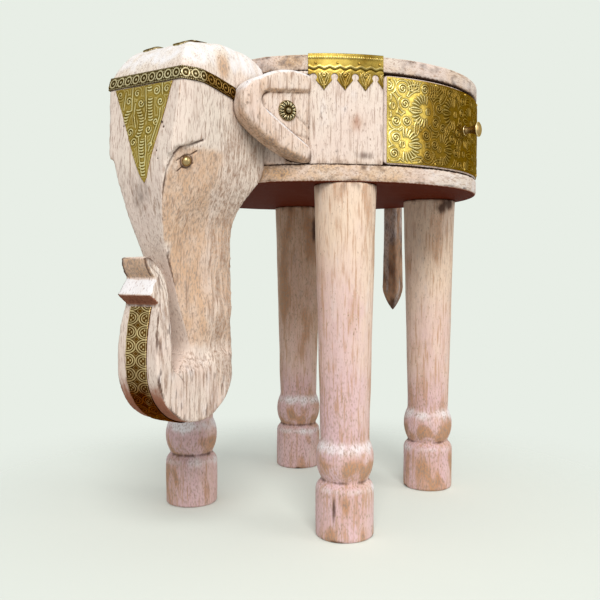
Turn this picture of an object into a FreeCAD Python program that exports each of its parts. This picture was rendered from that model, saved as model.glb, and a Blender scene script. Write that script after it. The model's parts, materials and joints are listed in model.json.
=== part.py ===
import FreeCAD, Part

import math
import os

# Elephant side table: a round drum on four turned legs, with a carved head and
# curled trunk at one end, ears on the flanks, a tail behind and a drawer in the
# left flank. Millimetres. The solids are drawn about the drum's axis, with the
# elephant facing -X, its left flank at -Y and the floor at Z = 0, and are moved
# to the middle of their footprint when they are written.

Vector = FreeCAD.Vector
X_AXIS = Vector(1, 0, 0)
Y_AXIS = Vector(0, 1, 0)
Z_AXIS = Vector(0, 0, 1)

# Drum
DRUM_R = 180.0
LEG_H = 347.5
BASE_T = 16.5
WALL_H = 87.3
TOP_T = 15.5
WALL_T = 22.0
BOARD_ROUND = 2.5
BASE_Z = LEG_H + BASE_T
WALL_Z = BASE_Z + WALL_H
TOP_Z = WALL_Z + TOP_T
WALL_IN_R = DRUM_R - WALL_T
NECK_X = -172.0
NECK_INNER_X = -137.0
FIXING_Z = (385.0, 425.0)
REAR_SPLIT_DEG = 60.0
FRONT_SPLIT_DEG = 120.0

# Legs
FRONT_LEG = (-110.0, 101.5)
REAR_LEG = (99.0, 95.5)
FOOT_R = 29.0
FOOT_SHOULDER_Z = 46.0
GROOVE_R = 23.4
GROOVE_Z = 58.0
BEAD_R = 28.8
BEAD_Z = 76.0
ANKLE_R = 24.2
ANKLE_Z = 96.0
LEG_TOP_R = 30.6
TENON_R = 15.0
TENON_L = 10.0
LEG_SCREW_R = 3.0
LEG_SCREW_HEAD_R = 6.0
LEG_SCREW_L = 55.0

# Trim
SHEET = 0.9
NAIL_R = 1.3
NAIL_SHANK_R = 0.6
NAIL_L = 7.0
VALANCE_DEG = (-149.5, -127.6)
VALANCE_BAND_DEG = -150.6
VALANCE_LOW_Z = 433.0
VALANCE_NAIL_Z = 458.0

# Drawer
OPEN_X = 108.0
SIDE_GAP = 0.8
TOP_GAP = 1.6
BOTTOM_GAP = 1.0
FRONT_T = 18.0
FRONT_R = DRUM_R - SHEET
FRONT_IN_R = FRONT_R - FRONT_T
FRONT_CORNER = 4.0
PLATE_SIDE_MARGIN = 0.9
PLATE_MARGIN = 1.7
PLATE_NAIL_INSET = 2.2
BOX_HALF = 100.0
BOX_WALL = 10.0
BOX_H = 62.0
BOX_BACK_Y = 100.0
BOTTOM_T = 5.0
BOTTOM_LIFT = 4.0
GROOVE = 4.0
RUNNER_W = 12.0
RUNNER_H = 20.0
RUNNER_Y = (-104.0, 98.0)
STOP_SIZE = (60.0, 12.0, 16.0)
KNOB_Z = 409.0
KNOB_REACH = 18.0
KNOB_HEAD_R = 7.8
KNOB_SCREW_R = 2.0

# Ear: a flat board set in the flank, from the seam with the wall to its nose
EAR_REAR = Vector(-156.0, -90.0, 0)
EAR_NOSE = Vector(-223.0, -60.0, 0)
EAR_BACK = 17.0
EAR_RIM = 4.5
EAR_ROUND = 5.5
EAR_TOP_Z = 446.5
EAR_TIP_Z = BASE_Z + 0.5
ROSETTE_AT = (25.0, 411.0)
ROSETTE_R = 9.5
ROSETTE_PETALS = 14

# Trunk curl
CURL_TIP_X = -297.0
BEND_AT = (-241.0, 178.0)
BEND_R = 52.0
SLOT_FLOOR_Z = 186.0
CURL_HALF = 25.0
TIP_HALF = 13.5
TRUNK_STRAP_HALF = 12.5

# Tail
TAIL_DEPTH = 22.0
TAIL_HALF = 11.5
TAIL_TIP_Z = 207.0
TAIL_TOP_Z = 440.0

TAIL_X = DRUM_R + TAIL_DEPTH
SHIFT = Vector(-(CURL_TIP_X + TAIL_X) / 2, KNOB_REACH / 2, 0)


def box(x0, x1, y0, y1, z0, z1):
    """Block between two corners."""
    return Part.makeBox(x1 - x0, y1 - y0, z1 - z0, Vector(x0, y0, z0))


def rod(radius, start, end):
    """Round bar between two points."""
    return Part.makeCylinder(radius, (end - start).Length, start, end - start)


def polygon(points):
    """Closed wire through the points."""
    return Part.makePolygon(points + [points[0]])


def prism(points, along):
    """Straight extrusion of a polygon."""
    return Part.Face(polygon(points)).extrude(along)


def arc(a, b, c):
    """Arc from a through b to c."""
    return Part.Arc(a, b, c).toShape()


def line(a, b):
    return Part.LineSegment(a, b).toShape()


def cap_arc(radius, low, high):
    """Arc of a round cap about the Z axis, from its rim up to its top."""
    rise = high - low
    ball = (radius ** 2 + rise ** 2) / (2 * rise)
    half = math.asin(radius / ball) / 2
    middle = Vector(ball * math.sin(half), 0, high - ball + ball * math.cos(half))
    return arc(Vector(radius, 0, low), middle, Vector(0, 0, high))


def face_of(edges):
    """Face inside a closed chain of edges."""
    return Part.Face(Part.Wire(Part.__sortEdges__(edges)))


def ring(inner, outer, z0, z1, start, end):
    """Sector of a ring about the drum's axis, angles in degrees from +X."""
    sweep = end - start
    base = Vector(0, 0, z0)
    sector = Part.makeCylinder(outer, z1 - z0, base, Z_AXIS, sweep)
    sector = sector.cut(Part.makeCylinder(inner, z1 - z0, base))
    sector.rotate(Vector(0, 0, 0), Z_AXIS, start)
    return sector


def mirrored(shape):
    """The same piece on the right flank."""
    return shape.mirror(Vector(0, 0, 0), Y_AXIS)


def on_drum(shape, degrees):
    """Turn a piece drawn facing +X to its place round the drum."""
    turned = shape.copy()
    turned.rotate(Vector(0, 0, 0), Z_AXIS, degrees)
    return turned


# Ear frame: u runs forward along the board, n points out of it
EAR_U = (EAR_NOSE - EAR_REAR).normalize()
EAR_N = Vector(-EAR_U.y, EAR_U.x, 0)


def on_ear(u, z, out=0.0):
    """Point on the left ear's board."""
    return EAR_REAR + EAR_U * u + EAR_N * out + Vector(0, 0, z)


def ear_outline(out):
    """Comma-shaped outline of the ear."""
    rear_top = on_ear(0, EAR_TOP_Z, out)
    brow = on_ear(54, 439, out)
    cheek = on_ear(67, 398, out)
    tip = on_ear(4, EAR_TIP_Z, out)
    rear_low = on_ear(0, EAR_TIP_Z, out)
    return face_of([
        arc(rear_top, on_ear(28, 448.6, out), brow),
        arc(brow, on_ear(74, 414, out), cheek),
        arc(cheek, on_ear(38, 377.5, out), tip),
        line(tip, rear_low),
        line(rear_low, rear_top),
    ])


def ear_panel(out):
    """Outline of the sunk panel inside the ear's rim."""
    rear_top = on_ear(-1, 431.5, out)
    front_top = on_ear(43, 427, out)
    front_low = on_ear(50, 410.5, out)
    rear_low = on_ear(-1, 376.5, out)
    return face_of([
        line(rear_top, front_top),
        arc(front_top, on_ear(53.5, 419, out), front_low),
        line(front_low, rear_low),
        line(rear_low, rear_top),
    ])


def left_ear():
    """Carved ear: a thick board with a rounded rim and a sunk panel."""
    board = ear_outline(-EAR_BACK).extrude(EAR_N * (EAR_BACK + EAR_RIM))
    rim = []
    for edge in board.Edges:
        ends = [vertex.Point for vertex in edge.Vertexes]
        outs = [(p - EAR_REAR).dot(EAR_N) for p in ends]
        if min(outs) > EAR_RIM - 0.1 and edge.Curve.TypeId == "Part::GeomCircle":
            rim.append(edge)
    board = board.makeFillet(EAR_ROUND, rim)
    return board.cut(ear_panel(0).extrude(EAR_N * (EAR_RIM + 1)))


def ear_rosette():
    """Fluted brass rosette with a domed centre."""
    centre_r = 3.0
    profile = Part.Wire([
        line(Vector(0, 0, 0), Vector(ROSETTE_R, 0, 0)),
        line(Vector(ROSETTE_R, 0, 0), Vector(ROSETTE_R, 0, 1.0)),
        arc(Vector(ROSETTE_R, 0, 1.0), Vector(7.2, 0, 2.8), Vector(4.2, 0, 2.4)),
        line(Vector(4.2, 0, 2.4), Vector(centre_r, 0, 2.4)),
        cap_arc(centre_r, 2.4, 5.0),
        line(Vector(0, 0, 5.0), Vector(0, 0, 0)),
    ])
    disc = Part.Face(profile).revolve(Vector(0, 0, 0), Z_AXIS, 360)
    flutes = []
    for step in range(ROSETTE_PETALS):
        flute = rod(0.6, Vector(4.6, 0, 3.0), Vector(ROSETTE_R + 2, 0, 1.3))
        flute.rotate(Vector(0, 0, 0), Z_AXIS, step * 360 / ROSETTE_PETALS)
        flutes.append(flute)
    disc = disc.cut(flutes)
    seat = on_ear(*ROSETTE_AT)
    disc.Placement = FreeCAD.Placement(seat, FreeCAD.Rotation(Z_AXIS, EAR_N))
    return disc


# Skull sections: height, front x and half width, middle half width, rear x and half width
SKULL_MID_X = -225.0
SKULL = [
    (180, -244.5, 15.5, 20.5, -189.0, 25.0),
    (210, -246.5, 15.3, 20.5, -189.8, 24.7),
    (240, -257.8, 15.0, 21.3, -191.5, 24.4),
    (270, -268.0, 15.0, 21.8, -193.0, 24.8),
    (295, -277.0, 17.6, 23.5, -194.5, 26.0),
    (315, -282.6, 22.5, 28.0, -192.5, 30.5),
    (335, -287.0, 28.7, 37.0, -185.0, 41.0),
    (355, -288.8, 34.8, 43.0, -172.0, 47.5),
    (380, -286.5, 39.2, 46.5, -168.0, 49.5),
    (405, -283.6, 41.5, 48.3, -168.0, 50.0),
    (426, -281.6, 43.0, 49.0, -168.0, 50.0),
    (438, -278.3, 41.8, 48.3, -168.0, 49.8),
    (447, -273.5, 39.0, 47.5, -169.0, 48.8),
    (455, -267.5, 35.5, 46.0, -173.0, 46.5),
    (461, -260.5, 31.0, 43.8, -181.0, 43.3),
    (465.5, -252.0, 27.0, 40.5, -192.0, 39.5),
    (468, -244.0, 22.5, 36.0, -203.0, 34.5),
    (469.5, -236.0, 18.5, 30.5, -212.0, 28.5),
]

# Each front corner is cut back and out in proportion to the front's half width
CORNER_BACK = 0.30
CORNER_OUT = 0.11


def skull_section(z, front_x, front_half, mid_half, rear_x, rear_half, grow):
    """Eight-sided plan of the head at one height, with cut front corners."""
    corner_x = front_x + CORNER_BACK * front_half
    corner_half = front_half * (1 + CORNER_OUT)
    side = [
        Vector(front_x - grow, front_half + grow / 2, z),
        Vector(corner_x - grow / 2, corner_half + grow, z),
        Vector(SKULL_MID_X, mid_half + grow, z),
        Vector(rear_x, rear_half + grow, z),
    ]
    other = [Vector(p.x, -p.y, z) for p in reversed(side)]
    return polygon(side + other)


def skull(grow=0.0):
    """Head and upper trunk, lofted through its plans; grow lays it off outwards."""
    wires = [skull_section(*row, grow) for row in SKULL]
    return Part.makeLoft(wires, True, False)


def curl_face(grow=0.0):
    """Side view of the bend and the curl with its two lips; grow lays off the outside."""
    cx, cz = BEND_AT
    r = BEND_R + grow

    def at(x, z):
        return Vector(x, 0, z)

    rear_top = at(cx + BEND_R, SLOT_FLOOR_Z)
    rear = at(cx + r, cz)
    bottom = at(cx, cz - r)
    front = at(cx - r, cz)
    lip_root = at(-286.0 - grow, 234.5)
    lip = at(CURL_TIP_X, 242.5)
    crease = at(-288.0, 257.5)
    tip = at(CURL_TIP_X, 275.0)
    tip_back = at(-291.0, 276.0)
    back_high = at(-273.0, 252.0)
    back_low = at(-273.0, 180.0)
    floor_front = at(-268.0, 174.0)
    floor_rear = at(-250.0, SLOT_FLOOR_Z)
    return face_of([
        line(rear_top, rear),
        arc(rear, at(cx + r * math.cos(math.radians(45)), cz - r * math.sin(math.radians(45))), bottom),
        arc(bottom, at(cx - r * math.cos(math.radians(45)), cz - r * math.sin(math.radians(45))), front),
        arc(front, at(-292.0 - grow, 207.0), lip_root),
        line(lip_root, lip),
        line(lip, crease),
        arc(crease, at(-294.2, 265.5), tip),
        line(tip, tip_back),
        arc(tip_back, at(-279.5, 266.0), back_high),
        line(back_high, back_low),
        arc(back_low, at(-271.8, 176.0), floor_front),
        line(floor_front, floor_rear),
        line(floor_rear, rear_top),
    ])


def curl(grow=0.0):
    """Bend and curl of the trunk, narrowing towards the tip."""
    wide = 2 * CURL_HALF
    body = curl_face(grow)
    body.translate(Vector(0, -wide, 0))
    body = body.extrude(Vector(0, 2 * wide, 0))
    low = BEND_AT[1] - BEND_R - 10
    high = 280.0
    waist_z = 150.0
    swell_half, swell_z = 22.9, 215.0

    def at(y, z):
        return Vector(-340, y, z)

    front = face_of([
        line(at(-CURL_HALF, low), at(-CURL_HALF, waist_z)),
        arc(at(-CURL_HALF, waist_z), at(-swell_half, swell_z), at(-TIP_HALF, high)),
        line(at(-TIP_HALF, high), at(TIP_HALF, high)),
        arc(at(TIP_HALF, high), at(swell_half, swell_z), at(CURL_HALF, waist_z)),
        line(at(CURL_HALF, waist_z), at(CURL_HALF, low)),
        line(at(CURL_HALF, low), at(-CURL_HALF, low)),
    ])
    return body.common(front.extrude(Vector(170, 0, 0)))


# Hollow under the left brow: its floor goes through a point, comes out towards
# the rear and goes in downwards, so that it runs out on the cheek and the trunk
HOLLOW_AT = Vector(-281.0, -34.0, 362.0)
HOLLOW_REARWARD = 0.237
HOLLOW_DOWNWARD = 0.252
HOLLOW_OUT = Vector(-HOLLOW_REARWARD, -1, -HOLLOW_DOWNWARD).normalize()


def on_hollow(x, z):
    """Point on the floor of the hollow."""
    rearward = HOLLOW_REARWARD * (x - HOLLOW_AT.x)
    downward = HOLLOW_DOWNWARD * (HOLLOW_AT.z - z)
    return Vector(x, HOLLOW_AT.y - rearward + downward, z)


def brow_hollow():
    """Sloping cut under the brow that sinks the eye, on the left side."""
    brow = [(-300, 352), (-287, 362), (-282.5, 369), (-269, 373), (-260, 376.5), (-250, 372), (-239, 361.5)]
    throat = [(-230, 330), (-245, 290), (-300, 285)]
    outline = [on_hollow(x, z) for x, z in brow + throat]
    return prism(outline, HOLLOW_OUT * 60)


def ledge_cut():
    """Slanting ledges beside the slot, where the trunk meets the bend."""
    outer = CURL_HALF + 5
    points = [
        Vector(-271, -16.5, SLOT_FLOOR_Z),
        Vector(-271, -outer, SLOT_FLOOR_Z - 20),
        Vector(-271, -outer, SLOT_FLOOR_Z + 4),
        Vector(-271, -16.5, SLOT_FLOOR_Z + 4),
    ]
    return prism(points, Vector(52, 0, 0))


def crown_groove():
    """Shallow valley between the two domes of the skull."""
    valley_r = 34.0
    valley_z = 463.5
    return rod(valley_r, Vector(-320, 0, valley_z + valley_r), Vector(-160, 0, valley_z + valley_r))


def head():
    """Head and trunk in one carving, seated on the drum's flat."""
    ledges = ledge_cut()
    bend = curl().cut([ledges, mirrored(ledges)])
    hollow = brow_hollow()
    carving = skull().cut([hollow, mirrored(hollow), crown_groove()])
    carving = carving.fuse(bend).removeSplitter()
    behind = box(NECK_X, NECK_X + 60, -100, 100, 100, 520)
    return carving.cut(behind)


HEAD = head()
EARS = [left_ear(), mirrored(left_ear())]
HEAD = HEAD.cut(EARS)


def forehead_plate():
    """Brass triangle on the forehead, with a blunt tip that was nailed a little off the middle."""
    corners = [(34, 424), (-34, 424), (-9.5, 344), (-6, 339.5), (-2.5, 344)]
    wedge = prism([Vector(-330, y, z) for y, z in corners], Vector(70, 0, 0))
    return skull(SHEET).cut(skull()).common(wedge)


def brow_strap():
    """Brass band across the brow and back along both sides to the ears."""
    width = 11.5
    low = [(-310, 425.0), (-259, 425.0), (-243, 422.5), (-217, 416.8)]
    points = [Vector(x, -80, z) for x, z in low]
    points += [Vector(x, -80, z + width) for x, z in reversed(low)]
    band = prism(points, Vector(0, 160, 0))
    strap = skull(SHEET).cut(skull()).common(band)
    return strap.cut(EARS)


def trunk_strap():
    """Brass band down the curl's outer face and under the bend."""
    span = box(-320, -245, -TRUNK_STRAP_HALF, TRUNK_STRAP_HALF, 110, 232)
    return curl(SHEET).cut(curl()).common(span)


def crown_disc():
    """Pierced brass disc on the left dome, with a ring of round holes."""
    at = Vector(-242.5, -25, 0)
    radius = 18.5
    thick = 1.2
    hole_ring = 12.6
    hole_r = 3.5
    hole_count = 8
    cover = Part.makeCylinder(radius, 60, at + Vector(0, 0, 440))
    lifted = HEAD.copy()
    lifted.translate(Vector(0, 0, thick))
    disc = lifted.cut(HEAD).common(cover)
    holes = []
    for step in range(hole_count):
        hole = Part.makeCylinder(hole_r, 80, at + Vector(hole_ring, 0, 420))
        hole.rotate(at, Z_AXIS, (step + 0.5) * 360 / hole_count)
        holes.append(hole)
    return disc.cut(holes)


def left_eye():
    """Domed brass stud in the hollow under the brow, with a pin in the wood."""
    dome_r = 4.6
    pin_r = 1.5
    pin_l = 8.0
    seat = on_hollow(-268.3, 358.0)
    dome = Part.makeSphere(dome_r, seat).common(rod(2 * dome_r, seat, seat + HOLLOW_OUT * 2 * dome_r))
    return dome.fuse(rod(pin_r, seat - HOLLOW_OUT * pin_l, seat + HOLLOW_OUT)).removeSplitter()


def valance():
    """Pierced brass cornice on the left flank, a band above the ear with pointed lobes behind it."""
    start, end = VALANCE_DEG
    low = VALANCE_LOW_Z
    band_z = EAR_TOP_Z + 1
    lobes = ring(DRUM_R, DRUM_R + SHEET, low, band_z, start, end)
    band = ring(DRUM_R, DRUM_R + SHEET, band_z, TOP_Z, VALANCE_BAND_DEG, end)
    sheet = lobes.fuse(band).removeSplitter()
    lobe_step = 6.3
    first_gap = -149.0
    gap_count = 4
    gap_half = math.radians(lobe_step) * DRUM_R / 2
    slit_half = 2.0
    keyhole_r = 3.4
    keyhole_z = low + 12.0
    inside = DRUM_R - 5
    cuts = []
    for count in range(gap_count):
        opening = [
            Vector(inside, -gap_half, low - 1),
            Vector(inside, -gap_half, low),
            Vector(inside, -slit_half, keyhole_z - 2.5),
            Vector(inside, slit_half, keyhole_z - 2.5),
            Vector(inside, gap_half, low),
            Vector(inside, gap_half, low - 1),
        ]
        notch = prism(opening, Vector(10, 0, 0))
        keyhole = rod(keyhole_r, Vector(inside, 0, keyhole_z), Vector(inside + 10, 0, keyhole_z))
        cuts.append(on_drum(notch.fuse(keyhole), first_gap + count * lobe_step))
    return sheet.cut(cuts + EARS[:1])


def nail(at, out):
    """Domed brass nail, its head on the surface at the point and its shank driven in."""
    dome = Part.makeSphere(NAIL_R, at).common(rod(2 * NAIL_R, at, at + out * 3))
    return dome.fuse(rod(NAIL_SHANK_R, at - out * NAIL_L, at)).removeSplitter()


def drum_nail(degrees, z, radius):
    """Nail on the drum's side."""
    angle = math.radians(degrees)
    out = Vector(math.cos(angle), math.sin(angle), 0)
    return nail(out * radius + Vector(0, 0, z), out)


def valance_nails():
    """Four nails along each valance."""
    start, end = VALANCE_DEG
    count = 4
    edge = 1.2
    step = (end - start - 2 * edge) / (count - 1)
    nails = [drum_nail(start + edge + i * step, VALANCE_NAIL_Z, DRUM_R + SHEET) for i in range(count)]
    return Part.Compound(nails + [mirrored(n) for n in nails])


def top_board():
    """Round top, flat where the head stands."""
    board = Part.makeCylinder(DRUM_R, TOP_T, Vector(0, 0, WALL_Z))
    rims = [e for e in board.Edges if e.Curve.TypeId == "Part::GeomCircle" and e.Vertexes[0].Z > TOP_Z - 0.1]
    board = board.makeFillet(BOARD_ROUND, rims)
    front = box(NECK_X - 60, NECK_X, -200, 200, WALL_Z - 1, TOP_Z + 1)
    return board.cut([front] + EARS + DOWELS)


def leg_places():
    fx, fy = FRONT_LEG
    rx, ry = REAR_LEG
    return {
        "leg_front_left": Vector(fx, -fy, 0),
        "leg_front_right": Vector(fx, fy, 0),
        "leg_rear_left": Vector(rx, -ry, 0),
        "leg_rear_right": Vector(rx, ry, 0),
    }


def leg_screw(at):
    """Countersunk wood screw from inside the drum down into a leg."""
    head_h = 4.0
    top = at + Vector(0, 0, BASE_Z)
    head_cone = Part.makeCone(LEG_SCREW_R, LEG_SCREW_HEAD_R, head_h, top - Vector(0, 0, head_h))
    return head_cone.fuse(rod(LEG_SCREW_R, top - Vector(0, 0, LEG_SCREW_L), top - Vector(0, 0, head_h)))


def leg(at):
    """Turned leg: round foot, groove, bead, tapering shaft and a round tenon."""
    foot_round = 2.5

    def p(r, z):
        return Vector(r, 0, z)

    top = LEG_H + TENON_L
    profile = Part.Wire([
        line(p(0, 0), p(FOOT_R - foot_round, 0)),
        arc(p(FOOT_R - foot_round, 0), p(FOOT_R - 0.73, 0.73), p(FOOT_R, foot_round)),
        line(p(FOOT_R, foot_round), p(FOOT_R, FOOT_SHOULDER_Z)),
        arc(p(FOOT_R, FOOT_SHOULDER_Z), p(27.6, 52.5), p(GROOVE_R, GROOVE_Z - 1.5)),
        line(p(GROOVE_R, GROOVE_Z - 1.5), p(GROOVE_R, GROOVE_Z)),
        arc(p(GROOVE_R, GROOVE_Z), p(BEAD_R, BEAD_Z), p(ANKLE_R, ANKLE_Z)),
        line(p(ANKLE_R, ANKLE_Z), p(LEG_TOP_R, LEG_H)),
        line(p(LEG_TOP_R, LEG_H), p(TENON_R, LEG_H)),
        line(p(TENON_R, LEG_H), p(TENON_R, top)),
        line(p(TENON_R, top), p(0, top)),
        line(p(0, top), p(0, 0)),
    ])
    turned = Part.Face(profile).revolve(Vector(0, 0, 0), Z_AXIS, 360)
    turned.translate(at)
    return turned.cut(leg_screw(at))


def bottom_board():
    """Round bottom of the drum with a mortise for each leg."""
    board = Part.makeCylinder(DRUM_R, BASE_T, Vector(0, 0, LEG_H))
    rims = [e for e in board.Edges if e.Curve.TypeId == "Part::GeomCircle" and e.Vertexes[0].Z < LEG_H + 0.1]
    board = board.makeFillet(BOARD_ROUND, rims)
    cuts = [box(NECK_X - 60, NECK_X, -200, 200, LEG_H - 1, BASE_Z + 1)]
    for at in leg_places().values():
        cuts.append(rod(TENON_R, at + Vector(0, 0, LEG_H), at + Vector(0, 0, LEG_H + TENON_L)))
        cuts.append(leg_screw(at))
    return board.cut(cuts + DOWELS)


def beside_seam(reach):
    """Space on one side of the seam between ear and wall, on both flanks; forward if reach is positive."""
    corner = EAR_REAR + EAR_N * 80
    across = EAR_N * -160
    points = [corner, corner + EAR_U * reach, corner + EAR_U * reach + across, corner + across]
    space = prism(points, Vector(0, 0, 600))
    return [space, mirrored(space)]


def dowels():
    """Wooden dowels that locate the boards on the wall blocks."""
    radius = 4.0
    middle = (DRUM_R + WALL_IN_R) / 2
    pegs = []
    for degrees in (-142, -132, -45, -15, 15, 45, 75, 105, 126, 142):
        out = Vector(middle * math.cos(math.radians(degrees)), middle * math.sin(math.radians(degrees)), 0)
        for joint_z, reach in ((BASE_Z, 12.0), (WALL_Z, 9.0)):
            low = out + Vector(0, 0, joint_z - reach)
            pegs.append(rod(radius, low, low + Vector(0, 0, 2 * reach)))
    return pegs


DOWELS = dowels()


def wall(start, end):
    """Curved block of the drum's wall between two angles."""
    block = ring(WALL_IN_R, DRUM_R, BASE_Z, WALL_Z, start, end)
    opening = box(-OPEN_X, OPEN_X, -220, -60, BASE_Z - 1, WALL_Z + 1)
    return block.cut([opening] + beside_seam(200) + DOWELS)


def head_bolts():
    """Two bolts from the neck block into the head, with washer heads inside the drum."""
    bolts = []
    for z in FIXING_Z:
        inner = Vector(NECK_INNER_X, 0, z)
        shank = rod(4.0, inner, Vector(NECK_X - 55, 0, z))
        bolts.append(shank.fuse(rod(9.0, inner, inner + Vector(5, 0, 0))).removeSplitter())
    return bolts


BOLTS = head_bolts()


def neck_block():
    """Solid block behind the head, between the two boards and the ears."""
    disc = Part.makeCylinder(DRUM_R, WALL_H, Vector(0, 0, BASE_Z))
    slab = disc.common(box(NECK_X, NECK_INNER_X, -200, 200, BASE_Z, WALL_Z))
    return slab.cut(beside_seam(-200) + EARS + BOLTS)


def tail_taper():
    """Side view of the tail, full above and drawn in to its tip from front and rear, across its width."""
    front = DRUM_R - 2
    middle = (DRUM_R + TAIL_X) / 2
    full_z = TAIL_TIP_Z + 42
    curve_z = TAIL_TIP_Z + 17
    curve_in = 3.0

    def at(x, z):
        return Vector(x, -2 * TAIL_HALF, z)

    side = face_of([
        line(at(front, TAIL_TOP_Z), at(TAIL_X, TAIL_TOP_Z)),
        line(at(TAIL_X, TAIL_TOP_Z), at(TAIL_X, full_z)),
        arc(at(TAIL_X, full_z), at(TAIL_X - curve_in, curve_z), at(middle, TAIL_TIP_Z)),
        arc(at(middle, TAIL_TIP_Z), at(DRUM_R + curve_in, curve_z), at(front, full_z)),
        line(at(front, full_z), at(front, TAIL_TOP_Z)),
    ])
    return side.extrude(Vector(0, 4 * TAIL_HALF, 0))


def tail():
    """Flat tapered tongue on the rear of the drum, ending in a point."""
    def at(y, z):
        return Vector(0, y, z)

    outline = face_of([
        line(at(-10.5, TAIL_TOP_Z), at(10.5, TAIL_TOP_Z)),
        arc(at(10.5, TAIL_TOP_Z), at(9.5, 330), at(TAIL_HALF, 240)),
        arc(at(TAIL_HALF, 240), at(7.0, 221), at(0, TAIL_TIP_Z)),
        arc(at(0, TAIL_TIP_Z), at(-7.0, 221), at(-TAIL_HALF, 240)),
        arc(at(-TAIL_HALF, 240), at(-9.5, 330), at(-10.5, TAIL_TOP_Z)),
    ])
    tongue = outline.extrude(Vector(TAIL_X, 0, 0)).common(tail_taper())
    drum = Part.makeCylinder(DRUM_R, TOP_Z)
    slope = prism([
        Vector(TAIL_X - 6, -30, TAIL_TOP_Z + 1), Vector(TAIL_X + 1, -30, TAIL_TOP_Z + 1), Vector(TAIL_X + 1, -30, 400),
    ], Vector(0, 60, 0))
    return tongue.cut([drum, slope] + tail_screws())


def tail_screws():
    """Two screws through the rear wall into the tail."""
    screws = []
    for z in FIXING_Z:
        shank = rod(2.0, Vector(WALL_IN_R, 0, z), Vector(DRUM_R + 14, 0, z))
        head_cap = rod(4.0, Vector(WALL_IN_R - 2.5, 0, z), Vector(WALL_IN_R, 0, z))
        screws.append(shank.fuse(head_cap).removeSplitter())
    return screws


def drawer_front():
    """Curved drawer front with rounded corners."""
    half = OPEN_X - SIDE_GAP
    low, high = BASE_Z + BOTTOM_GAP, WALL_Z - TOP_GAP
    block = box(-half, half, -DRUM_R - 5, -60, low, high)
    corners = [e for e in block.Edges if abs(e.tangentAt(e.FirstParameter).y) > 0.9]
    block = block.makeFillet(FRONT_CORNER, corners)
    shell = ring(FRONT_IN_R, FRONT_R, low, high, -150, -30)
    return block.common(shell)


def drawer_plate():
    """Brass sheet over the drawer front, just inside its edges."""
    half = OPEN_X - SIDE_GAP - PLATE_SIDE_MARGIN
    low = BASE_Z + BOTTOM_GAP + PLATE_MARGIN
    high = WALL_Z - TOP_GAP - PLATE_MARGIN
    block = box(-half, half, -DRUM_R - 5, -60, low, high)
    corners = [e for e in block.Edges if abs(e.tangentAt(e.FirstParameter).y) > 0.9]
    block = block.makeFillet(2.0, corners)
    return block.common(ring(FRONT_R, DRUM_R, low, high, -150, -30))


def drawer_plate_nails():
    """Nails along the plate's top and bottom edges and its ends."""
    half = OPEN_X - SIDE_GAP - PLATE_SIDE_MARGIN
    rim = math.degrees(math.asin((half - PLATE_NAIL_INSET) / DRUM_R))
    low = BASE_Z + BOTTOM_GAP + PLATE_MARGIN + PLATE_NAIL_INSET
    high = WALL_Z - TOP_GAP - PLATE_MARGIN - PLATE_NAIL_INSET
    nails = []
    for step in range(5):
        degrees = -90 - rim + 2 * rim * step / 4
        nails.append(drum_nail(degrees, low, DRUM_R))
        nails.append(drum_nail(degrees, high, DRUM_R))
    middle = (low + high) / 2
    nails += [drum_nail(-90 - rim, middle, DRUM_R), drum_nail(-90 + rim, middle, DRUM_R)]
    return Part.Compound(nails)


def knob_screw():
    """Screw from inside the drawer into the knob."""
    seat = -FRONT_IN_R - 0.6
    shank = rod(KNOB_SCREW_R, Vector(0, seat, KNOB_Z), Vector(0, -DRUM_R - 12, KNOB_Z))
    head_cap = rod(5.0, Vector(0, seat + 3.0, KNOB_Z), Vector(0, seat, KNOB_Z))
    return shank.fuse(head_cap).removeSplitter()


def drawer_knob():
    """Turned knob: small foot, a stem that flares like a trumpet, and a thin domed head."""
    def p(r, out):
        return Vector(r, 0, DRUM_R + out)

    sink = 0.5
    foot_r = 5.2
    foot_t = 1.4
    neck_r = 3.4
    flare_r = 5.6
    flare_out = 13.0
    rim_out = 15.6
    profile = Part.Wire([
        line(p(0, -sink), p(foot_r, -sink)),
        line(p(foot_r, -sink), p(foot_r, foot_t)),
        line(p(foot_r, foot_t), p(neck_r + 0.5, foot_t)),
        arc(p(neck_r + 0.5, foot_t), p(neck_r, 6.5), p(flare_r, flare_out)),
        arc(p(flare_r, flare_out), p(KNOB_HEAD_R - 0.5, 14.2), p(KNOB_HEAD_R, rim_out)),
        cap_arc(KNOB_HEAD_R, DRUM_R + rim_out, DRUM_R + KNOB_REACH),
        line(p(0, KNOB_REACH), p(0, -sink)),
    ])
    knob = Part.Face(profile).revolve(Vector(0, 0, 0), Z_AXIS, 360)
    knob.rotate(Vector(0, 0, 0), X_AXIS, 90)
    knob.translate(Vector(0, 0, KNOB_Z))
    plate_drum = Part.makeCylinder(DRUM_R, TOP_Z)
    return knob.cut([plate_drum, knob_screw()])


def drawer_box():
    """Sides, back and bottom of the drawer; the bottom sits in grooves."""
    low = BASE_Z + BOTTOM_GAP
    high = low + BOX_H
    inner = BOX_HALF - BOX_WALL
    front_y = -FRONT_R
    in_cylinder = Part.makeCylinder(FRONT_IN_R, TOP_Z)
    groove_cylinder = Part.makeCylinder(FRONT_IN_R + GROOVE, TOP_Z)
    panel = box(-inner - GROOVE, inner + GROOVE, front_y, BOX_BACK_Y - BOX_WALL + GROOVE,
                low + BOTTOM_LIFT, low + BOTTOM_LIFT + BOTTOM_T).common(groove_cylinder)
    back = box(-inner, inner, BOX_BACK_Y - BOX_WALL, BOX_BACK_Y, low, high).cut(panel)
    sides = []
    for x0, x1 in ((-BOX_HALF, -inner), (inner, BOX_HALF)):
        side = box(x0, x1, front_y, BOX_BACK_Y, low, high).common(in_cylinder)
        sides.append(side.cut(panel))
    return panel, back, sides


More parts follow.
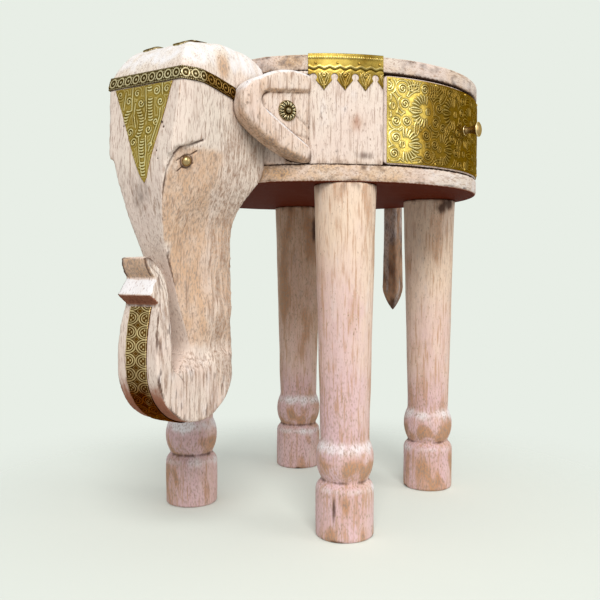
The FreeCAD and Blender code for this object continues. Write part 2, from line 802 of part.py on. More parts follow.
def runner(side):
    """Guide strip beside the drawer."""
    x0 = BOX_HALF + 1.0
    x1 = x0 + RUNNER_W
    low, high = sorted((side * x0, side * x1))
    return box(low, high, RUNNER_Y[0], RUNNER_Y[1], BASE_Z, BASE_Z + RUNNER_H)


def drawer_stop():
    """Block behind the drawer that stops it flush."""
    w, d, h = STOP_SIZE
    return box(-w / 2, w / 2, BOX_BACK_Y + 0.5, BOX_BACK_Y + 0.5 + d, BASE_Z, BASE_Z + h)


def build():
    panel, back, sides = drawer_box()
    tail_pins = tail_screws()
    rosette = ear_rosette()
    cornice = valance()
    disc = crown_disc()
    eye = left_eye()
    parts = {
        "top_board": top_board(),
        "bottom_board": bottom_board(),
        "neck_block": neck_block(),
        "wall_left_front": wall(-170, -100),
        "wall_rear": wall(-80, REAR_SPLIT_DEG).cut(tail_pins),
        "wall_right_side": wall(REAR_SPLIT_DEG, FRONT_SPLIT_DEG),
        "wall_right_front": wall(FRONT_SPLIT_DEG, 170),
        "wall_dowels": Part.Compound(DOWELS),
        "head": HEAD.cut(BOLTS),
        "head_bolts": Part.Compound(BOLTS),
        "left_ear": EARS[0],
        "right_ear": EARS[1],
        "tail": tail(),
        "tail_screws": Part.Compound(tail_pins),
        "leg_screws": Part.Compound([leg_screw(at) for at in leg_places().values()]),
        "runner_front": runner(-1),
        "runner_rear": runner(1),
        "drawer_stop": drawer_stop(),
        "forehead_plate": forehead_plate(),
        "brow_strap": brow_strap(),
        "trunk_strap": trunk_strap(),
        "crown_disc_left": disc,
        "crown_disc_right": mirrored(disc),
        "ear_rosette_left": rosette,
        "ear_rosette_right": mirrored(rosette),
        "eye_left": eye,
        "eye_right": mirrored(eye),
        "valance_left": cornice,
        "valance_right": mirrored(cornice),
        "valance_nails": valance_nails(),
        "drawer_front": drawer_front().cut([panel, knob_screw()]),
        "drawer_plate": drawer_plate().cut(knob_screw()),
        "drawer_plate_nails": drawer_plate_nails(),
        "drawer_knob": drawer_knob(),
        "knob_screw": knob_screw(),
        "drawer_side_front": sides[0],
        "drawer_side_rear": sides[1],
        "drawer_back": back,
        "drawer_bottom": panel,
    }
    for name, at in leg_places().items():
        parts[name] = leg(at)
    return parts


os.makedirs("parts", exist_ok=True)
for name, shape in build().items():
    shape = shape.copy()
    shape.translate(SHIFT)
    shape.exportStep("parts/" + name + ".step")
    solids = len(shape.Solids)
    size = shape.BoundBox
    print(f"{name:20s} solids {solids:2d} valid {shape.isValid()} faces {len(shape.Faces):3d} "
          f"x {size.XMin:7.1f} {size.XMax:7.1f} y {size.YMin:7.1f} {size.YMax:7.1f} z {size.ZMin:6.1f} {size.ZMax:6.1f}")
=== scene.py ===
# %% [markdown]
# # A carved elephant side table
# The table is a round drum on four turned legs, with a carved head and a curled trunk at one end. The wood
# is whitewashed and rubbed back, and thin embossed brass is nailed on as trim. The imported model gives every
# piece its size and place, so the first step is to load it.

# %% Load the imported model
import json
import math

import bmesh
import bpy
import numpy as np
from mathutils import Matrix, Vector, noise
from mathutils.bvhtree import BVHTree


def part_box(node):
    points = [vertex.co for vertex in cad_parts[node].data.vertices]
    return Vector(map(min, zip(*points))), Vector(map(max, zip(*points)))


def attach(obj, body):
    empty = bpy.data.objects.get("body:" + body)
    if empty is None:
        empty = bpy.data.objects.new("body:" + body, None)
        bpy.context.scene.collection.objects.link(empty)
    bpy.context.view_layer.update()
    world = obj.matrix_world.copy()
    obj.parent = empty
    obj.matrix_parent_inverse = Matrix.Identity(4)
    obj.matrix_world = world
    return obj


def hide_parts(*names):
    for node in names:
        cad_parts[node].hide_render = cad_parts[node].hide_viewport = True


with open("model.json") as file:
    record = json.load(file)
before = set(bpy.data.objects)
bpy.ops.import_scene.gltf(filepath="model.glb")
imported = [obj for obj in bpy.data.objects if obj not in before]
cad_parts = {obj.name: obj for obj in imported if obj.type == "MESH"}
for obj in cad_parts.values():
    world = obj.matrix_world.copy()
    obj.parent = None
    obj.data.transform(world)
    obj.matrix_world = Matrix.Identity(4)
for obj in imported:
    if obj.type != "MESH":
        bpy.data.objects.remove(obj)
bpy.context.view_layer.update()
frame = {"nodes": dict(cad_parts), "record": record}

# %% [markdown]
# All sizes below are millimetres about the drum's own upright axis, with the elephant looking along -X and
# its left flank, where the drawer is, towards -Y. The top board is a round of known width, so its box gives
# that axis and the drum's radius. Two small helpers put new meshes and objects into the scene.

# %% Find the drum's axis and radius
MM = 0.001
top_low, top_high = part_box("top_board")
DRUM_R = (top_high.y - top_low.y) / 2 / MM
AXIS = np.array([top_high.x - DRUM_R * MM, (top_low.y + top_high.y) / 2, 0.0])


def place(x, y, z):
    """A point given in millimetres about the drum's axis, in metres."""
    return Vector((AXIS[0] + x * MM, AXIS[1] + y * MM, z * MM))


def stand(name, data):
    """A new object in the scene that shows the given data."""
    item = bpy.data.objects.new(name, data)
    bpy.context.collection.objects.link(item)
    return item


def settle(shape, mesh):
    """Write a bmesh into a mesh, free it, and give the mesh."""
    shape.to_mesh(mesh)
    shape.free()
    return mesh


print("drum radius", round(DRUM_R, 2), "axis", AXIS)

# %% [markdown]
# The camera stands a little left of the elephant's face, at about half the table's height, and looks nearly
# level. A lens near 47 mm on a 36 mm sensor gives the same foreshortening of the drum as the photograph.

# %% Camera at the photograph's viewing angle
CAMERA_AT = (-772.0, -492.9, 265.0)
LOOK = Vector((0.8293, 0.5576, -0.0396))
camera_data = bpy.data.cameras.new("studio_camera")
camera_data.lens = 46.63
camera_data.sensor_width = 36.0
camera = stand("studio_camera", camera_data)
camera.location = place(*CAMERA_AT)
camera.rotation_euler = LOOK.to_track_quat("-Z", "Y").to_euler()
bpy.context.scene.camera = camera
bpy.context.scene.view_settings.view_transform = "Standard"
print("camera at", tuple(round(c, 3) for c in camera.location))

# %% [markdown]
# A few helpers serve every material. Colours are written as sRGB hex values, as a paint chart gives them,
# and one function turns them to the linear values that shaders use. Another adds a node, with its settings
# and its inputs, which may be numbers or sockets of other nodes, and gives the socket that is used next.

# %% Colour and node helpers


def ink(hex_text):
    """Linear RGBA of an sRGB hex colour."""
    channels = [int(hex_text[i:i + 2], 16) / 255 for i in (1, 3, 5)]
    linear = [c / 12.92 if c <= 0.04045 else ((c + 0.055) / 1.055) ** 2.4 for c in channels]
    return (*linear, 1.0)


def feed(node, inputs):
    """Set a node's inputs to numbers, or link them to sockets of other nodes."""
    for name, value in inputs.items():
        if isinstance(value, bpy.types.NodeSocket):
            node.id_data.links.new(value, node.inputs[name])
        else:
            node.inputs[name].default_value = value


def add_node(tree, kind, inputs=None, out=0, **settings):
    """Add a shader node with its settings and its inputs, and give one of its output sockets."""
    node = tree.nodes.new("ShaderNode" + kind)
    for name, value in settings.items():
        setattr(node, name, value)
    feed(node, inputs or {})
    return node.outputs[out] if node.outputs else None


def new_material(name):
    """An empty node material with its Principled shader wired to the output."""
    material = bpy.data.materials.new(name)
    material.use_nodes = True
    tree = material.node_tree
    tree.nodes.clear()
    surface = add_node(tree, "BsdfPrincipled")
    add_node(tree, "OutputMaterial", {"Surface": surface})
    return material, tree, surface.node


print("mid grey in linear:", round(ink("#808080")[0], 3))

# %% [markdown]
# The studio is a pale seamless sweep. The floor is a disc that takes the table's soft shadow and fades out
# towards its rim, where the world behind it has the same pale colour. The world is dimmer for light than it
# is to the eye, which the Light Path node allows, so the paper is pale and the wood isn't washed out.

# %% Pale floor and world
PAPER = "#E8EEE6"
FLOOR_R = 1.2
FADE_FROM, FADE_TO = 0.18, 0.56
LEAST_FADE = 0.12
SKY_LIGHT = 0.48

world = bpy.data.worlds.new("studio_world")
bpy.context.scene.world = world
world.use_nodes = True
tree = world.node_tree
tree.nodes.clear()
seen = add_node(tree, "LightPath", out="Is Camera Ray")
rays = seen.node.outputs
for ray in ("Is Glossy Ray", "Is Transmission Ray"):
    seen = add_node(tree, "Math", {0: seen, 1: rays[ray]}, operation="MAXIMUM")
sky = add_node(tree, "Background", {"Color": ink("#FFFFFF"), "Strength": SKY_LIGHT})
paper = add_node(tree, "Background", {"Color": ink(PAPER), "Strength": 1.0})
mixed = add_node(tree, "MixShader", {0: seen, 1: sky, 2: paper})
add_node(tree, "OutputWorld", {"Surface": mixed})

floor_paper, tree, shader = new_material("matt_backdrop_paper")
feed(shader, {"Base Color": ink(PAPER), "Roughness": 1.0, "Specular IOR Level": 0.0})
coords = add_node(tree, "TexCoord", out="Object")
reach = add_node(tree, "VectorMath", {0: coords}, out="Value", operation="LENGTH")
fade = add_node(
    tree,
    "MapRange",
    {"Value": reach, "From Min": FADE_FROM, "From Max": FADE_TO, "To Min": LEAST_FADE},
    interpolation_type="SMOOTHSTEP",
)
clear = add_node(tree, "BsdfTransparent")
blend = add_node(tree, "MixShader", {0: fade, 1: shader.outputs[0], 2: clear})
output = next(n for n in tree.nodes if n.type == "OUTPUT_MATERIAL")
feed(output, {"Surface": blend})

shape = bmesh.new()
bmesh.ops.create_circle(shape, cap_ends=True, segments=96, radius=FLOOR_R)
floor_mesh = settle(shape, bpy.data.meshes.new("floor"))
floor_mesh.materials.append(floor_paper)
floor = stand("floor", floor_mesh)
print("floor radius", FLOOR_R, "m")

# %% [markdown]
# A large soft lamp high on the left lights the face, the ear and the left of the drum. A weaker one before
# the drawer keeps the legs readable and shines in the left of its brass. Both aim at the middle of the
# table.

# %% Soft lamps
LAMP_AIM = Vector((0.0, 0.0, 0.25))


def soft_lamp(name, spot, size, watts, colour):
    """A square area lamp aimed at the middle of the table."""
    lamp_data = bpy.data.lights.new(name, "AREA")
    lamp_data.shape = "SQUARE"
    lamp_data.size = size
    lamp_data.energy = watts
    lamp_data.color = ink(colour)[:3]
    lamp = stand(name, lamp_data)
    lamp.location = spot
    lamp.rotation_euler = (LAMP_AIM - Vector(spot)).to_track_quat("-Z", "Y").to_euler()


soft_lamp("key_lamp", (-2.5, -1.9, 2.6), 1.7, 122.0, "#FFFDFA")
soft_lamp("fill_lamp", (0.4, -3.2, 1.2), 1.5, 28.0, "#FFFBF6")

# %% [markdown]
# Whitewashed mango wood is the main finish. Thin limewash was brushed over carved wood and rubbed back, so
# the eye gets a warm white with grey-brown streaks along the grain, fine dark pores, bare tan wood where a
# chisel textured it, and darker inner corners. Numbers on each point of a mesh steer it: tan is bare wood and
# in a few places painted shade, tint is pinkish thin paint, streak is how streaky the paint is, one number is
# thick white paint and on the ears' tops a painted highlight, another is dirt and painted shade in gaps and
# under parts, and stain is the reddish brown of faces that were never painted. Noise is added to each number
# before it is cut off, so every layer ends in a ragged, broken edge, as rubbed paint does. Pores are
# everywhere alike.

# %% Whitewashed mango wood
COAT = ("tan", "tint", "streak", "chalk_and_highlight", "dirt_and_shade", "stain")
EVEN = 0.36
# Each pattern: its width and its length on the grain in millimetres, its tilt, and how broken it is
PATTERNS = {
    "patch": (40.0, 70.0, 0.0, 4.0),
    "blotch": (7.0, 15.0, 0.0, 4.0),
    "streak": (2.4, 30.0, 0.0, 5.0),
    "fibre": (1.1, 9.0, 0.0, 4.0),
    "stipple": (1.6, 3.6, 0.9, 2.0),
}


def whitewashed_wood(name, grain, light, tinted, bare, streak_colour, pores, broken):
    """Limewash over open-grained wood with dark pores, its layers more or less broken."""
    material, tree, shader = new_material(name)
    coords = add_node(tree, "TexCoord", out="Object")
    noises = {}
    for title, (width, length, tilt, detail) in PATTERNS.items():
        scale = [1 / ((length if axis == grain else width) * MM) for axis in range(3)]
        mapped = add_node(tree, "Mapping", {"Vector": coords, "Rotation": (0, tilt, 0), "Scale": scale})
        noises[title] = add_node(tree, "TexNoise", {"Vector": mapped, "Scale": 1.0, "Detail": detail})
    numbers = {title: add_node(tree, "Attribute", out="Fac", attribute_name=title) for title in COAT}
    numbers["even"] = EVEN

    # Each layer: its colour, its number, the noise added and how much, the range cut off, and its strength
    layers = [
        ("#78594A", "even", "fibre", 4.8, (0.4, 1.3), pores),
        (tinted, "tint", "patch", 1.6 * broken, (-0.1, 1.1), 1.0),
        (bare, "tan", "blotch", 0.8 * broken, (0.1, 1.0), 0.95),
        (bare, "streak", "patch", 2.2 * broken, (0.6, 1.5), 0.4),
        (light, "tan", "stipple", 4.2, (0.75, 1.5), 0.8),
        (streak_colour, "streak", "streak", 4.2, (0.35, 1.2), 0.75),
        (light, "streak", "stipple", 4.0, (0.55, 1.3), 0.5),
        ("#ECEBED", "chalk_and_highlight", "blotch", 1.3 * broken, (0.2, 1.0), 0.9),
        ("#826249", "tan", "stipple", 4.2, (0.5, 1.5), 0.65),
        ("#94746A", "tint", "stipple", 3.4, (0.75, 1.6), 0.5),
        # Dark brown of dirt, and of painted shade in gaps, under parts and on shaded sides
        ("#4B2F20", "dirt_and_shade", "blotch", 1.0, (0.15, 0.9), 0.95),
        ("#9C6A54", "stain", "streak", 0.4, (0.05, 0.5), 1.0),
        ("#541C08", "stain", "streak", 0.5, (0.5, 1.0), 1.0),
    ]
    colour = ink(light)
    for layer, number, title, push, (low, high), strength in layers:
        centred = add_node(
            tree, "Math", {0: noises[title], 1: push, 2: -0.5 * push}, operation="MULTIPLY_ADD"
        )
        raised = add_node(tree, "Math", {0: numbers[number], 1: centred}, operation="ADD")
        amount = add_node(
            tree,
            "MapRange",
            {"Value": raised, "From Min": low, "From Max": high, "To Max": strength},
            interpolation_type="SMOOTHSTEP",
        )
        colour = add_node(tree, "Mix", {0: amount, 6: colour, 7: ink(layer)}, out=2, data_type="RGBA")

    height = add_node(
        tree, "Math", {0: noises["fibre"], 1: 0.8, 2: noises["stipple"]}, operation="MULTIPLY_ADD"
    )
    bump = add_node(tree, "Bump", {"Strength": 0.5, "Distance": 0.6 * MM, "Height": height})
    # Stained faces were never painted, so they shine less
    gloss = add_node(
        tree, "MapRange", {"Value": numbers["stain"], "From Max": 0.5, "To Min": 0.3, "To Max": 0.02}
    )
    feed(shader, {"Base Color": colour, "Normal": bump, "Roughness": 0.7, "Specular IOR Level": gloss})
    return material


UPRIGHT, LENGTHWAYS = 2, 0
head_wood = whitewashed_wood(
    "whitewashed_mango_carving", UPRIGHT, "#E2D6C8", "#DDC8BC", "#CDA886", "#927460", 0.85, 1.0
)
board_wood = whitewashed_wood(
    "whitewashed_mango_board", LENGTHWAYS, "#DCCFC0", "#D6C1B6", "#CFA97F", "#A08068", 0.6, 1.3
)
leg_wood = whitewashed_wood(
    "limewashed_turned_mango", UPRIGHT, "#E6CFB8", "#D3B2B5", "#B98A66", "#B78D6E", 0.3, 0.6
)
print("wood materials:", head_wood.name, board_wood.name, leg_wood.name)

# %% [markdown]
# The brass is thin sheet, embossed over a die and nailed on. Raised parts are rubbed bright and carry a
# painted highlight, hollows keep a dark brown patina with painted shade beside the ridges, and the sheet is
# never quite even. A number called relief on each point is 1 on rubbed ridges, near a half on the plain
# ground and 0 in the grooves beside ridges. Another number says how brown the sheet has gone, and also holds
# painted shade where a sheet turns away from the light or lies under the trunk's bend. The fittings, which
# are cast or turned, are the same metal without a pattern.

# %% Embossed brass
TARNISH_SIZE = 21.0
SCRATCH_SIZE = 2.2


def sheet_brass(name, bright, ground, groove, brown, roughness):
    """Brass that is bright on raised work and dark in the grooves."""
    material, tree, shader = new_material(name)
    coords = add_node(tree, "TexCoord", out="Object")
    relief, tarnish = (
        add_node(tree, "Attribute", out="Fac", attribute_name=title) for title in ("relief", "tarnish")
    )
    cloud, grit = (
        add_node(tree, "TexNoise", {"Vector": coords, "Scale": 1 / (size * MM), "Detail": 3.0})
        for size in (TARNISH_SIZE, SCRATCH_SIZE)
    )
    colour = ink(groove)
    for layer, low, high in ((ground, 0.0, 0.5), (bright, 0.5, 1.0)):
        amount = add_node(tree, "MapRange", {"Value": relief, "From Min": low, "From Max": high})
        colour = add_node(tree, "Mix", {0: amount, 6: colour, 7: ink(layer)}, out=2, data_type="RGBA")
    clouded = add_node(
        tree, "MapRange", {"Value": cloud, "From Min": 0.35, "From Max": 0.7, "To Min": 0.05, "To Max": 0.45}
    )
    browned = add_node(tree, "Math", {0: clouded, 1: tarnish}, operation="ADD", use_clamp=True)
    colour = add_node(
        tree, "Mix", {0: browned, 6: colour, 7: ink(brown)}, out=2, data_type="RGBA", blend_type="MULTIPLY"
    )
    low, high = roughness - 0.08, roughness + 0.12
    rough = add_node(
        tree, "MapRange", {"Value": grit, "From Min": 0.3, "From Max": 0.7, "To Min": low, "To Max": high}
    )
    bump = add_node(tree, "Bump", {"Strength": 0.12, "Distance": 0.2 * MM, "Height": grit})
    feed(shader, {"Base Color": colour, "Roughness": rough, "Normal": bump})
    feed(shader, {"Metallic": 1.0, "Specular Tint": ink("#D9BC7C")})
    return material


bright_brass = sheet_brass("embossed_brass_sheet", "#FFF8C4", "#D8C268", "#5A4710", "#8A7858", 0.38)
olive_brass = sheet_brass("olive_brass_sheet", "#FFFBD0", "#B89E50", "#33270A", "#B39A62", 0.34)
antique_brass = sheet_brass("antique_dipped_brass", "#FFF4CC", "#54421F", "#120C05", "#A0845A", 0.36)
band_brass = sheet_brass("gilt_brass_band", "#FFEBB4", "#7A5420", "#140C04", "#6E4028", 0.34)
nail_brass = sheet_brass("rubbed_brass_nail", "#D9BE6A", "#D9BE6A", "#C9AC55", "#B9905A", 0.34)
print("brass materials:", bright_brass.name, olive_brass.name, antique_brass.name)

# %% [markdown]
# Two plain finishes are left: unpainted brown wood for the drawer's box and the runners, and the dull steel
# of screws and bolts. Both still vary, the wood by its grain and the steel by its grinding marks.

# %% Bare wood and steel


def streaked(name, dark, light, size, roughness, metallic):
    """A surface of two close colours in streaks of the given size in millimetres."""
    material, tree, shader = new_material(name)
    coords = add_node(tree, "TexCoord", out="Object")
    mapped = add_node(tree, "Mapping", {"Vector": coords, "Scale": [1 / (length * MM) for length in size]})
    grain = add_node(tree, "TexNoise", {"Vector": mapped, "Scale": 1.0, "Detail": 4.0})
    colour = add_node(tree, "Mix", {0: grain, 6: ink(dark), 7: ink(light)}, out=2, data_type="RGBA")
    bump = add_node(tree, "Bump", {"Strength": 0.3, "Distance": 0.3 * MM, "Height": grain})
    feed(shader, {"Base Color": colour, "Normal": bump, "Roughness": roughness, "Metallic": metallic})
    return material


bare_wood = streaked("unpainted_mango_wood", "#6B432C", "#A9764E", (42.0, 4.0, 3.0), 0.66, 0.0)
ground_steel = streaked("ground_steel", "#76777A", "#A7A8AB", (1.2, 1.2, 6.0), 0.42, 1.0)
print("plain finishes:", bare_wood.name, ground_steel.name)

# %% [markdown]
# The wooden pieces are hand work: their edges are soft and their faces are never flat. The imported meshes
# have true shapes with knife-sharp edges. So each is copied, merged to one skin, remeshed to an even net of
# small squares, smoothed a little, and then pushed about by smooth noise. Numpy moves all points at once.

# %% Helpers for carved wood


def merged_copy(node):
    """A bmesh copy of a CAD node, with its loose triangles joined to one skin."""
    shape = bmesh.new()
    shape.from_mesh(frame["nodes"][node].data)
    bmesh.ops.remove_doubles(shape, verts=shape.verts, dist=0.01 * MM)
    return shape


def carved_mesh(node, cell, rounds):
    """An even net of squares over a CAD node, with its edges softened by some rounds of smoothing."""
    skin = settle(merged_copy(node), bpy.data.meshes.new(node + "_skin"))
    holder = stand(node + "_skin", skin)
    remesh = holder.modifiers.new("even_net", "REMESH")
    remesh.mode = "VOXEL"
    remesh.voxel_size = cell * MM
    remesh.use_smooth_shade = True
    graph = bpy.context.evaluated_depsgraph_get()
    mesh = bpy.data.meshes.new_from_object(holder.evaluated_get(graph))
    bpy.data.objects.remove(holder)
    bpy.data.meshes.remove(skin)
    shape = bmesh.new()
    shape.from_mesh(mesh)
    for _ in range(rounds):
        bmesh.ops.smooth_vert(
            shape, verts=shape.verts, factor=0.5, use_axis_x=True, use_axis_y=True, use_axis_z=True
        )
    return settle(shape, mesh)


def read_points(mesh):
    """The mesh's points in millimetres about the drum's axis."""
    flat = np.empty(len(mesh.vertices) * 3)
    mesh.vertices.foreach_get("co", flat)
    return (flat.reshape(-1, 3) - AXIS) / MM


def read_normals(mesh):
    """The direction that the surface faces at each point."""
    flat = np.empty(len(mesh.vertices) * 3)
    mesh.vertex_normals.foreach_get("vector", flat)
    return flat.reshape(-1, 3)


def write_points(mesh, points):
    """Put points in millimetres back into the mesh."""
    mesh.vertices.foreach_set("co", (points * MM + AXIS).ravel())
    mesh.update()


def paint(mesh, **values):
    """Store a number per point under each name."""
    for name, numbers in values.items():
        layer = mesh.attributes.new(name, "FLOAT", "POINT")
        layer.data.foreach_set("value", np.clip(numbers, 0, 1).astype(np.float32))


def bumps(points, size, shift):
    """Smooth noise between about -1 and 1, with humps of the given size or sizes in millimetres."""
    scaled = points / np.array(size) + shift
    return np.array([noise.noise(Vector(q)) for q in scaled])


def ramp(values, low, high):
    """0 below low, 1 above high, and smooth in between. High may be the smaller."""
    t = np.clip((values - low) / (high - low), 0, 1)
    return t * t * (3 - 2 * t)


def hump(distance, width):
    """A soft ridge, 1 on the line and 0 some widths away."""
    return np.exp(-((distance / width) ** 2))


def most(*values):
    """The largest of several values at each point."""
    return np.maximum.reduce(values)


def net_blur(mesh, values, rounds, keep=0.5):
    """Values on the points, spread over their neighbours some rounds. Each keeps a share of its own."""
    if values.ndim == 2:
        return np.array([net_blur(mesh, column, rounds, keep) for column in values.T]).T
    ends = np.empty(len(mesh.edges) * 2, dtype=np.int64)
    mesh.edges.foreach_get("vertices", ends)
    first, second = ends.reshape(-1, 2).T
    size = len(values)
    count = np.maximum(np.bincount(ends, minlength=size), 1)
    for _ in range(rounds):
        total = np.bincount(first, values[second], size) + np.bincount(second, values[first], size)
        values = keep * values + (1 - keep) * total / count
    return values


def edge_turn(mesh, points, normals):
    """How far each point stands out from its neighbours, in millimetres: edges above 0, corners below."""
    return ((points - net_blur(mesh, points, 1, keep=0)) * normals).sum(axis=1)


def relief_of(mesh, height):
    """Rubbed ridges with a painted highlight near 1, plain ground near a half, and grooves beside ridges,
    with dark patina and painted shade, near 0.
    """
    around = net_blur(mesh, height, 8)
    return 0.5 + 0.6 * height - 1.5 * np.clip(around - height, 0, 1) - 0.25 * around


def show(name, mesh, material, slot, body, *replaced):
    """Make the mesh a piece that rides on a body and stands for CAD nodes."""
    mesh.name = name
    mesh.materials.clear()
    mesh.materials.append(material)
    for polygon in mesh.polygons:
        polygon.use_smooth = True
    piece = stand(name, mesh)
    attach(piece, body)
    if replaced:
        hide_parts(*replaced)
    print(name, len(mesh.vertices), "points")
    return piece


print("a ramp at its middle:", float(ramp(np.array(0.5), 0, 1)))

# %% [markdown]
# Cut lines and paint need a few more helpers: the distance to a line or to a spot, a finer net where a line
# is cut, the six numbers of the paint, and how sharp each edge is beside the sharpest of its piece.

# %% Helpers for cut lines and paint


def line_distance(flat, route):
    """Distance from each flat point to a line of straight runs, in millimetres."""
    nearest = np.full(len(flat), np.inf)
    for start, end in zip(route, route[1:]):
        a = np.array(start)
        run = np.array(end) - a
        t = np.clip((flat - a) @ run / (run @ run), 0, 1)
        nearest = np.minimum(nearest, np.linalg.norm(flat - a - t[:, None] * run, axis=1))
    return nearest


def spot_distance(flat, spots):
    """Distance from each flat point to the nearest of some spots, in millimetres."""
    return np.min([np.hypot(*(flat - np.array(at)).T) for at in spots], axis=0)


def finer_where(mesh, chosen):
    """Cut the net three times finer along the edges that start at chosen points."""
    shape = bmesh.new()
    shape.from_mesh(mesh)
    edges = [edge for edge in shape.edges if chosen[edge.verts[0].index]]
    bmesh.ops.subdivide_edges(shape, edges=edges, cuts=2, use_grid_fill=True, smooth=0.6)
    settle(shape, mesh)


def coat_of(count, **values):
    """The six numbers of the paint for each point, all 0 but those given."""
    return {name: np.zeros(count) + values.get(name, 0.0) for name in COAT}


def relative_turn(mesh, points, normals):
    """Edge turn as a share of the sharpest edges of the same mesh."""
    turn = edge_turn(mesh, points, normals)
    return turn / np.quantile(np.abs(turn), 0.995)


def spot(points, centre, reach):
    """1 at a centre, fading to 0 over a reach on each axis, in millimetres."""
    return hump(np.linalg.norm((points - np.array(centre)) / np.array(reach), axis=1), 1)


print("numbers of the paint:", sorted(coat_of(1)))

# %% [markdown]
# The head is one carving, from the crown to the curled tip of the trunk. On top of the remeshed skin it
# gets long shallow gouge marks down the grain, and cut lines at the eyelids, the brow, the face and the
# curl. The net is finer there, so that a line 1 mm wide can be cut. Lines on the side are given by x and z,
# and the nail holes beside the forehead's brass by y and z.

# %% Carve the head
HEAD_CELL = 1.5
EYE = np.array([-268.3, 358.0])
UPPER_LID = [(-277.5, 357.5), (-272.5, 361.2), (-265.5, 363.2), (-259.3, 367.3)]
LOWER_LID = [(-275.5, 348.6), (-271.6, 352.6), (-266.6, 352.3), (-261.0, 356.8)]
BROW_LINE = [(-281, 363), (-277, 368.5), (-268, 371), (-261, 374), (-255, 377)]
FACE_LINE = [(-281, 363), (-283.5, 356.5), (-285.5, 348.5), (-285.5, 340), (-284.5, 322)]
CURL_LINE = [
    (-291, 268), (-281, 259), (-276, 246), (-274.5, 229), (-275.5, 211), (-274, 194), (-268.5, 174),
    (-256, 161),
]
NAIL_HOLES = [(22, 391), (-24, 390), (-26, 386), (-20, 366), (-22, 359), (28, 414)]
FRONT_X = -276
LID_DEPTH, BROW_DEPTH, CREASE_DEPTH, RIM_DEPTH, HOLE_DEPTH = 0.9, 1.3, 0.9, 0.5, 0.8

head_mesh = carved_mesh("head", HEAD_CELL, 3)
points = read_points(head_mesh)
x, y, z = points.T
bend_rear = ramp(x, -250, -240) * ramp(z, 160, 178) * ramp(z, 232, 214)
points += bend_rear[:, None] * (net_blur(head_mesh, points, 40) - points)
write_points(head_mesh, points)
flat = points[:, [0, 2]]
near_line = np.min([line_distance(flat, route) for route in (BROW_LINE, FACE_LINE, CURL_LINE)], axis=0)
near_eye = spot_distance(flat, [EYE])
near_hole = spot_distance(points[:, [1, 2]], NAIL_HOLES)
on_side = np.abs(y) > np.where(z > 300, 18.5, 12.5)
finer_where(head_mesh, (on_side & ((near_line < 4) | (near_eye < 15))) | ((x < FRONT_X) & (near_hole < 3)))

points, normals = read_points(head_mesh), read_normals(head_mesh)
x, y, z = points.T
flat = points[:, [0, 2]]
beside = ramp(np.abs(normals[:, 1]), 0.3, 0.6)
turn = relative_turn(head_mesh, points, normals)
lids = most(hump(line_distance(flat, UPPER_LID), 0.8), hump(line_distance(flat, LOWER_LID), 0.7)) * beside
brow = hump(line_distance(flat, BROW_LINE), 1.2) * beside
crease = hump(line_distance(flat, FACE_LINE), 1.0) * beside * ramp(np.abs(y), 16, 20)
rim_line = hump(line_distance(flat, CURL_LINE), 0.8) * beside
holes = hump(spot_distance(points[:, [1, 2]], NAIL_HOLES), 1.1)
holes *= ramp(-normals[:, 0], 0.3, 0.6) * (x < FRONT_X)
cuts = LID_DEPTH * lids + BROW_DEPTH * brow + CREASE_DEPTH * crease
cuts += RIM_DEPTH * rim_line + HOLE_DEPTH * holes
gouges = 0.45 * bumps(points, (13, 13, 90), 3.1) + 0.5 * bumps(points, (26, 26, 60), 7.7)
stipple = ramp(z, 372, 340) * 0.14 * bumps(points, (2.6, 2.6, 3.4), 1.3)
points += normals * (gouges + stipple - cuts)[:, None]
write_points(head_mesh, points)
print("head net:", len(points), "points, deepest cut", round(cuts.max(), 2), "mm")

# %% [markdown]
# The head's paint follows the photograph. The crown is nearly white. Below the brow the side is rubbed to
# tan wood, with streaky grey-brown paint behind it, and lower down behind it tan and dark painted shade. The
# front of the trunk is thin and pinkish, darkest under the point of the brass. The curl's underside was never
# painted, and its front edges are rubbed dark.

# %% Paint the head
x, y, z = points.T
forward = -normals[:, 0]
ragged = bumps(points, (16, 16, 30), 11.5)
wide = bumps(points, (22, 22, 70), 4.2)
edges = ramp(turn, 0.3, 0.8)
rear_of_tan = -227 + (370 - z) * 0.10
face_x = np.interp(z, [321.5, 348.1, 360.9, 368.8], [-286.0, -285.0, -281.7, -277.4])
bare_side = beside * ramp(x + 14 * ragged, rear_of_tan + 18, rear_of_tan - 20) * ramp(z, 376, 366)
bare_side *= ramp(x, face_x - 3, face_x + 3)
behind = beside * ramp(x + 10 * ragged, rear_of_tan - 16, rear_of_tan + 8) * ramp(z, 420, 385)
front = ramp(forward, 0.45, 0.8) * ramp(z, 362, 330)
crown = ramp(z, 432, 450)
apex = hump(np.hypot(y / 15, (z - 334) / 17), 1) * ramp(forward, 0.3, 0.6)
rubbed_patch = spot(points, (-231, -48, 446), (9, 14, 15))
jaw = spot(points, (-192, -52, 395), (14, 26, 34))
eye_rim = hump(np.hypot(x - EYE[0], z - EYE[1]) - 5.6, 1.3) * beside
trunk_front = ramp(x, -258, -272) * ramp(z, 385, 365) * ramp(z, 282, 290)
curl_part = ramp(z, 282, 276) * ramp(x, -250, -262)
curl_side = beside * most(ramp(z, 202, 186), ramp(x, -266, -271) * ramp(z, 292, 282))
under_curl = ramp(z, 184, 138) * ramp(x, -222, -246) * ramp(np.abs(normals[:, 1]), 0.8, 0.5)
lip_top = ramp(normals[:, 2], 0.1, 0.4) * ramp(x, -282, -286) * ramp(z, 238, 243) * ramp(z, 260, 257)
lip_hollow = ramp(x, -280, -286) * ramp(z, 256, 259) * ramp(forward, 0.1, 0.4) * ramp(z, 276, 273)
lip_arris = ramp(x, -282, -287) * ramp(z, 257, 260) * ramp(z, 281, 278)
lip_arris *= hump(np.abs(y) - 28 + 0.052 * z, 1.5)
under_lip = ramp(-normals[:, 2], 0.2, 0.5) * ramp(x, -281, -286) * ramp(z, 230, 234) * ramp(z, 246, 242)

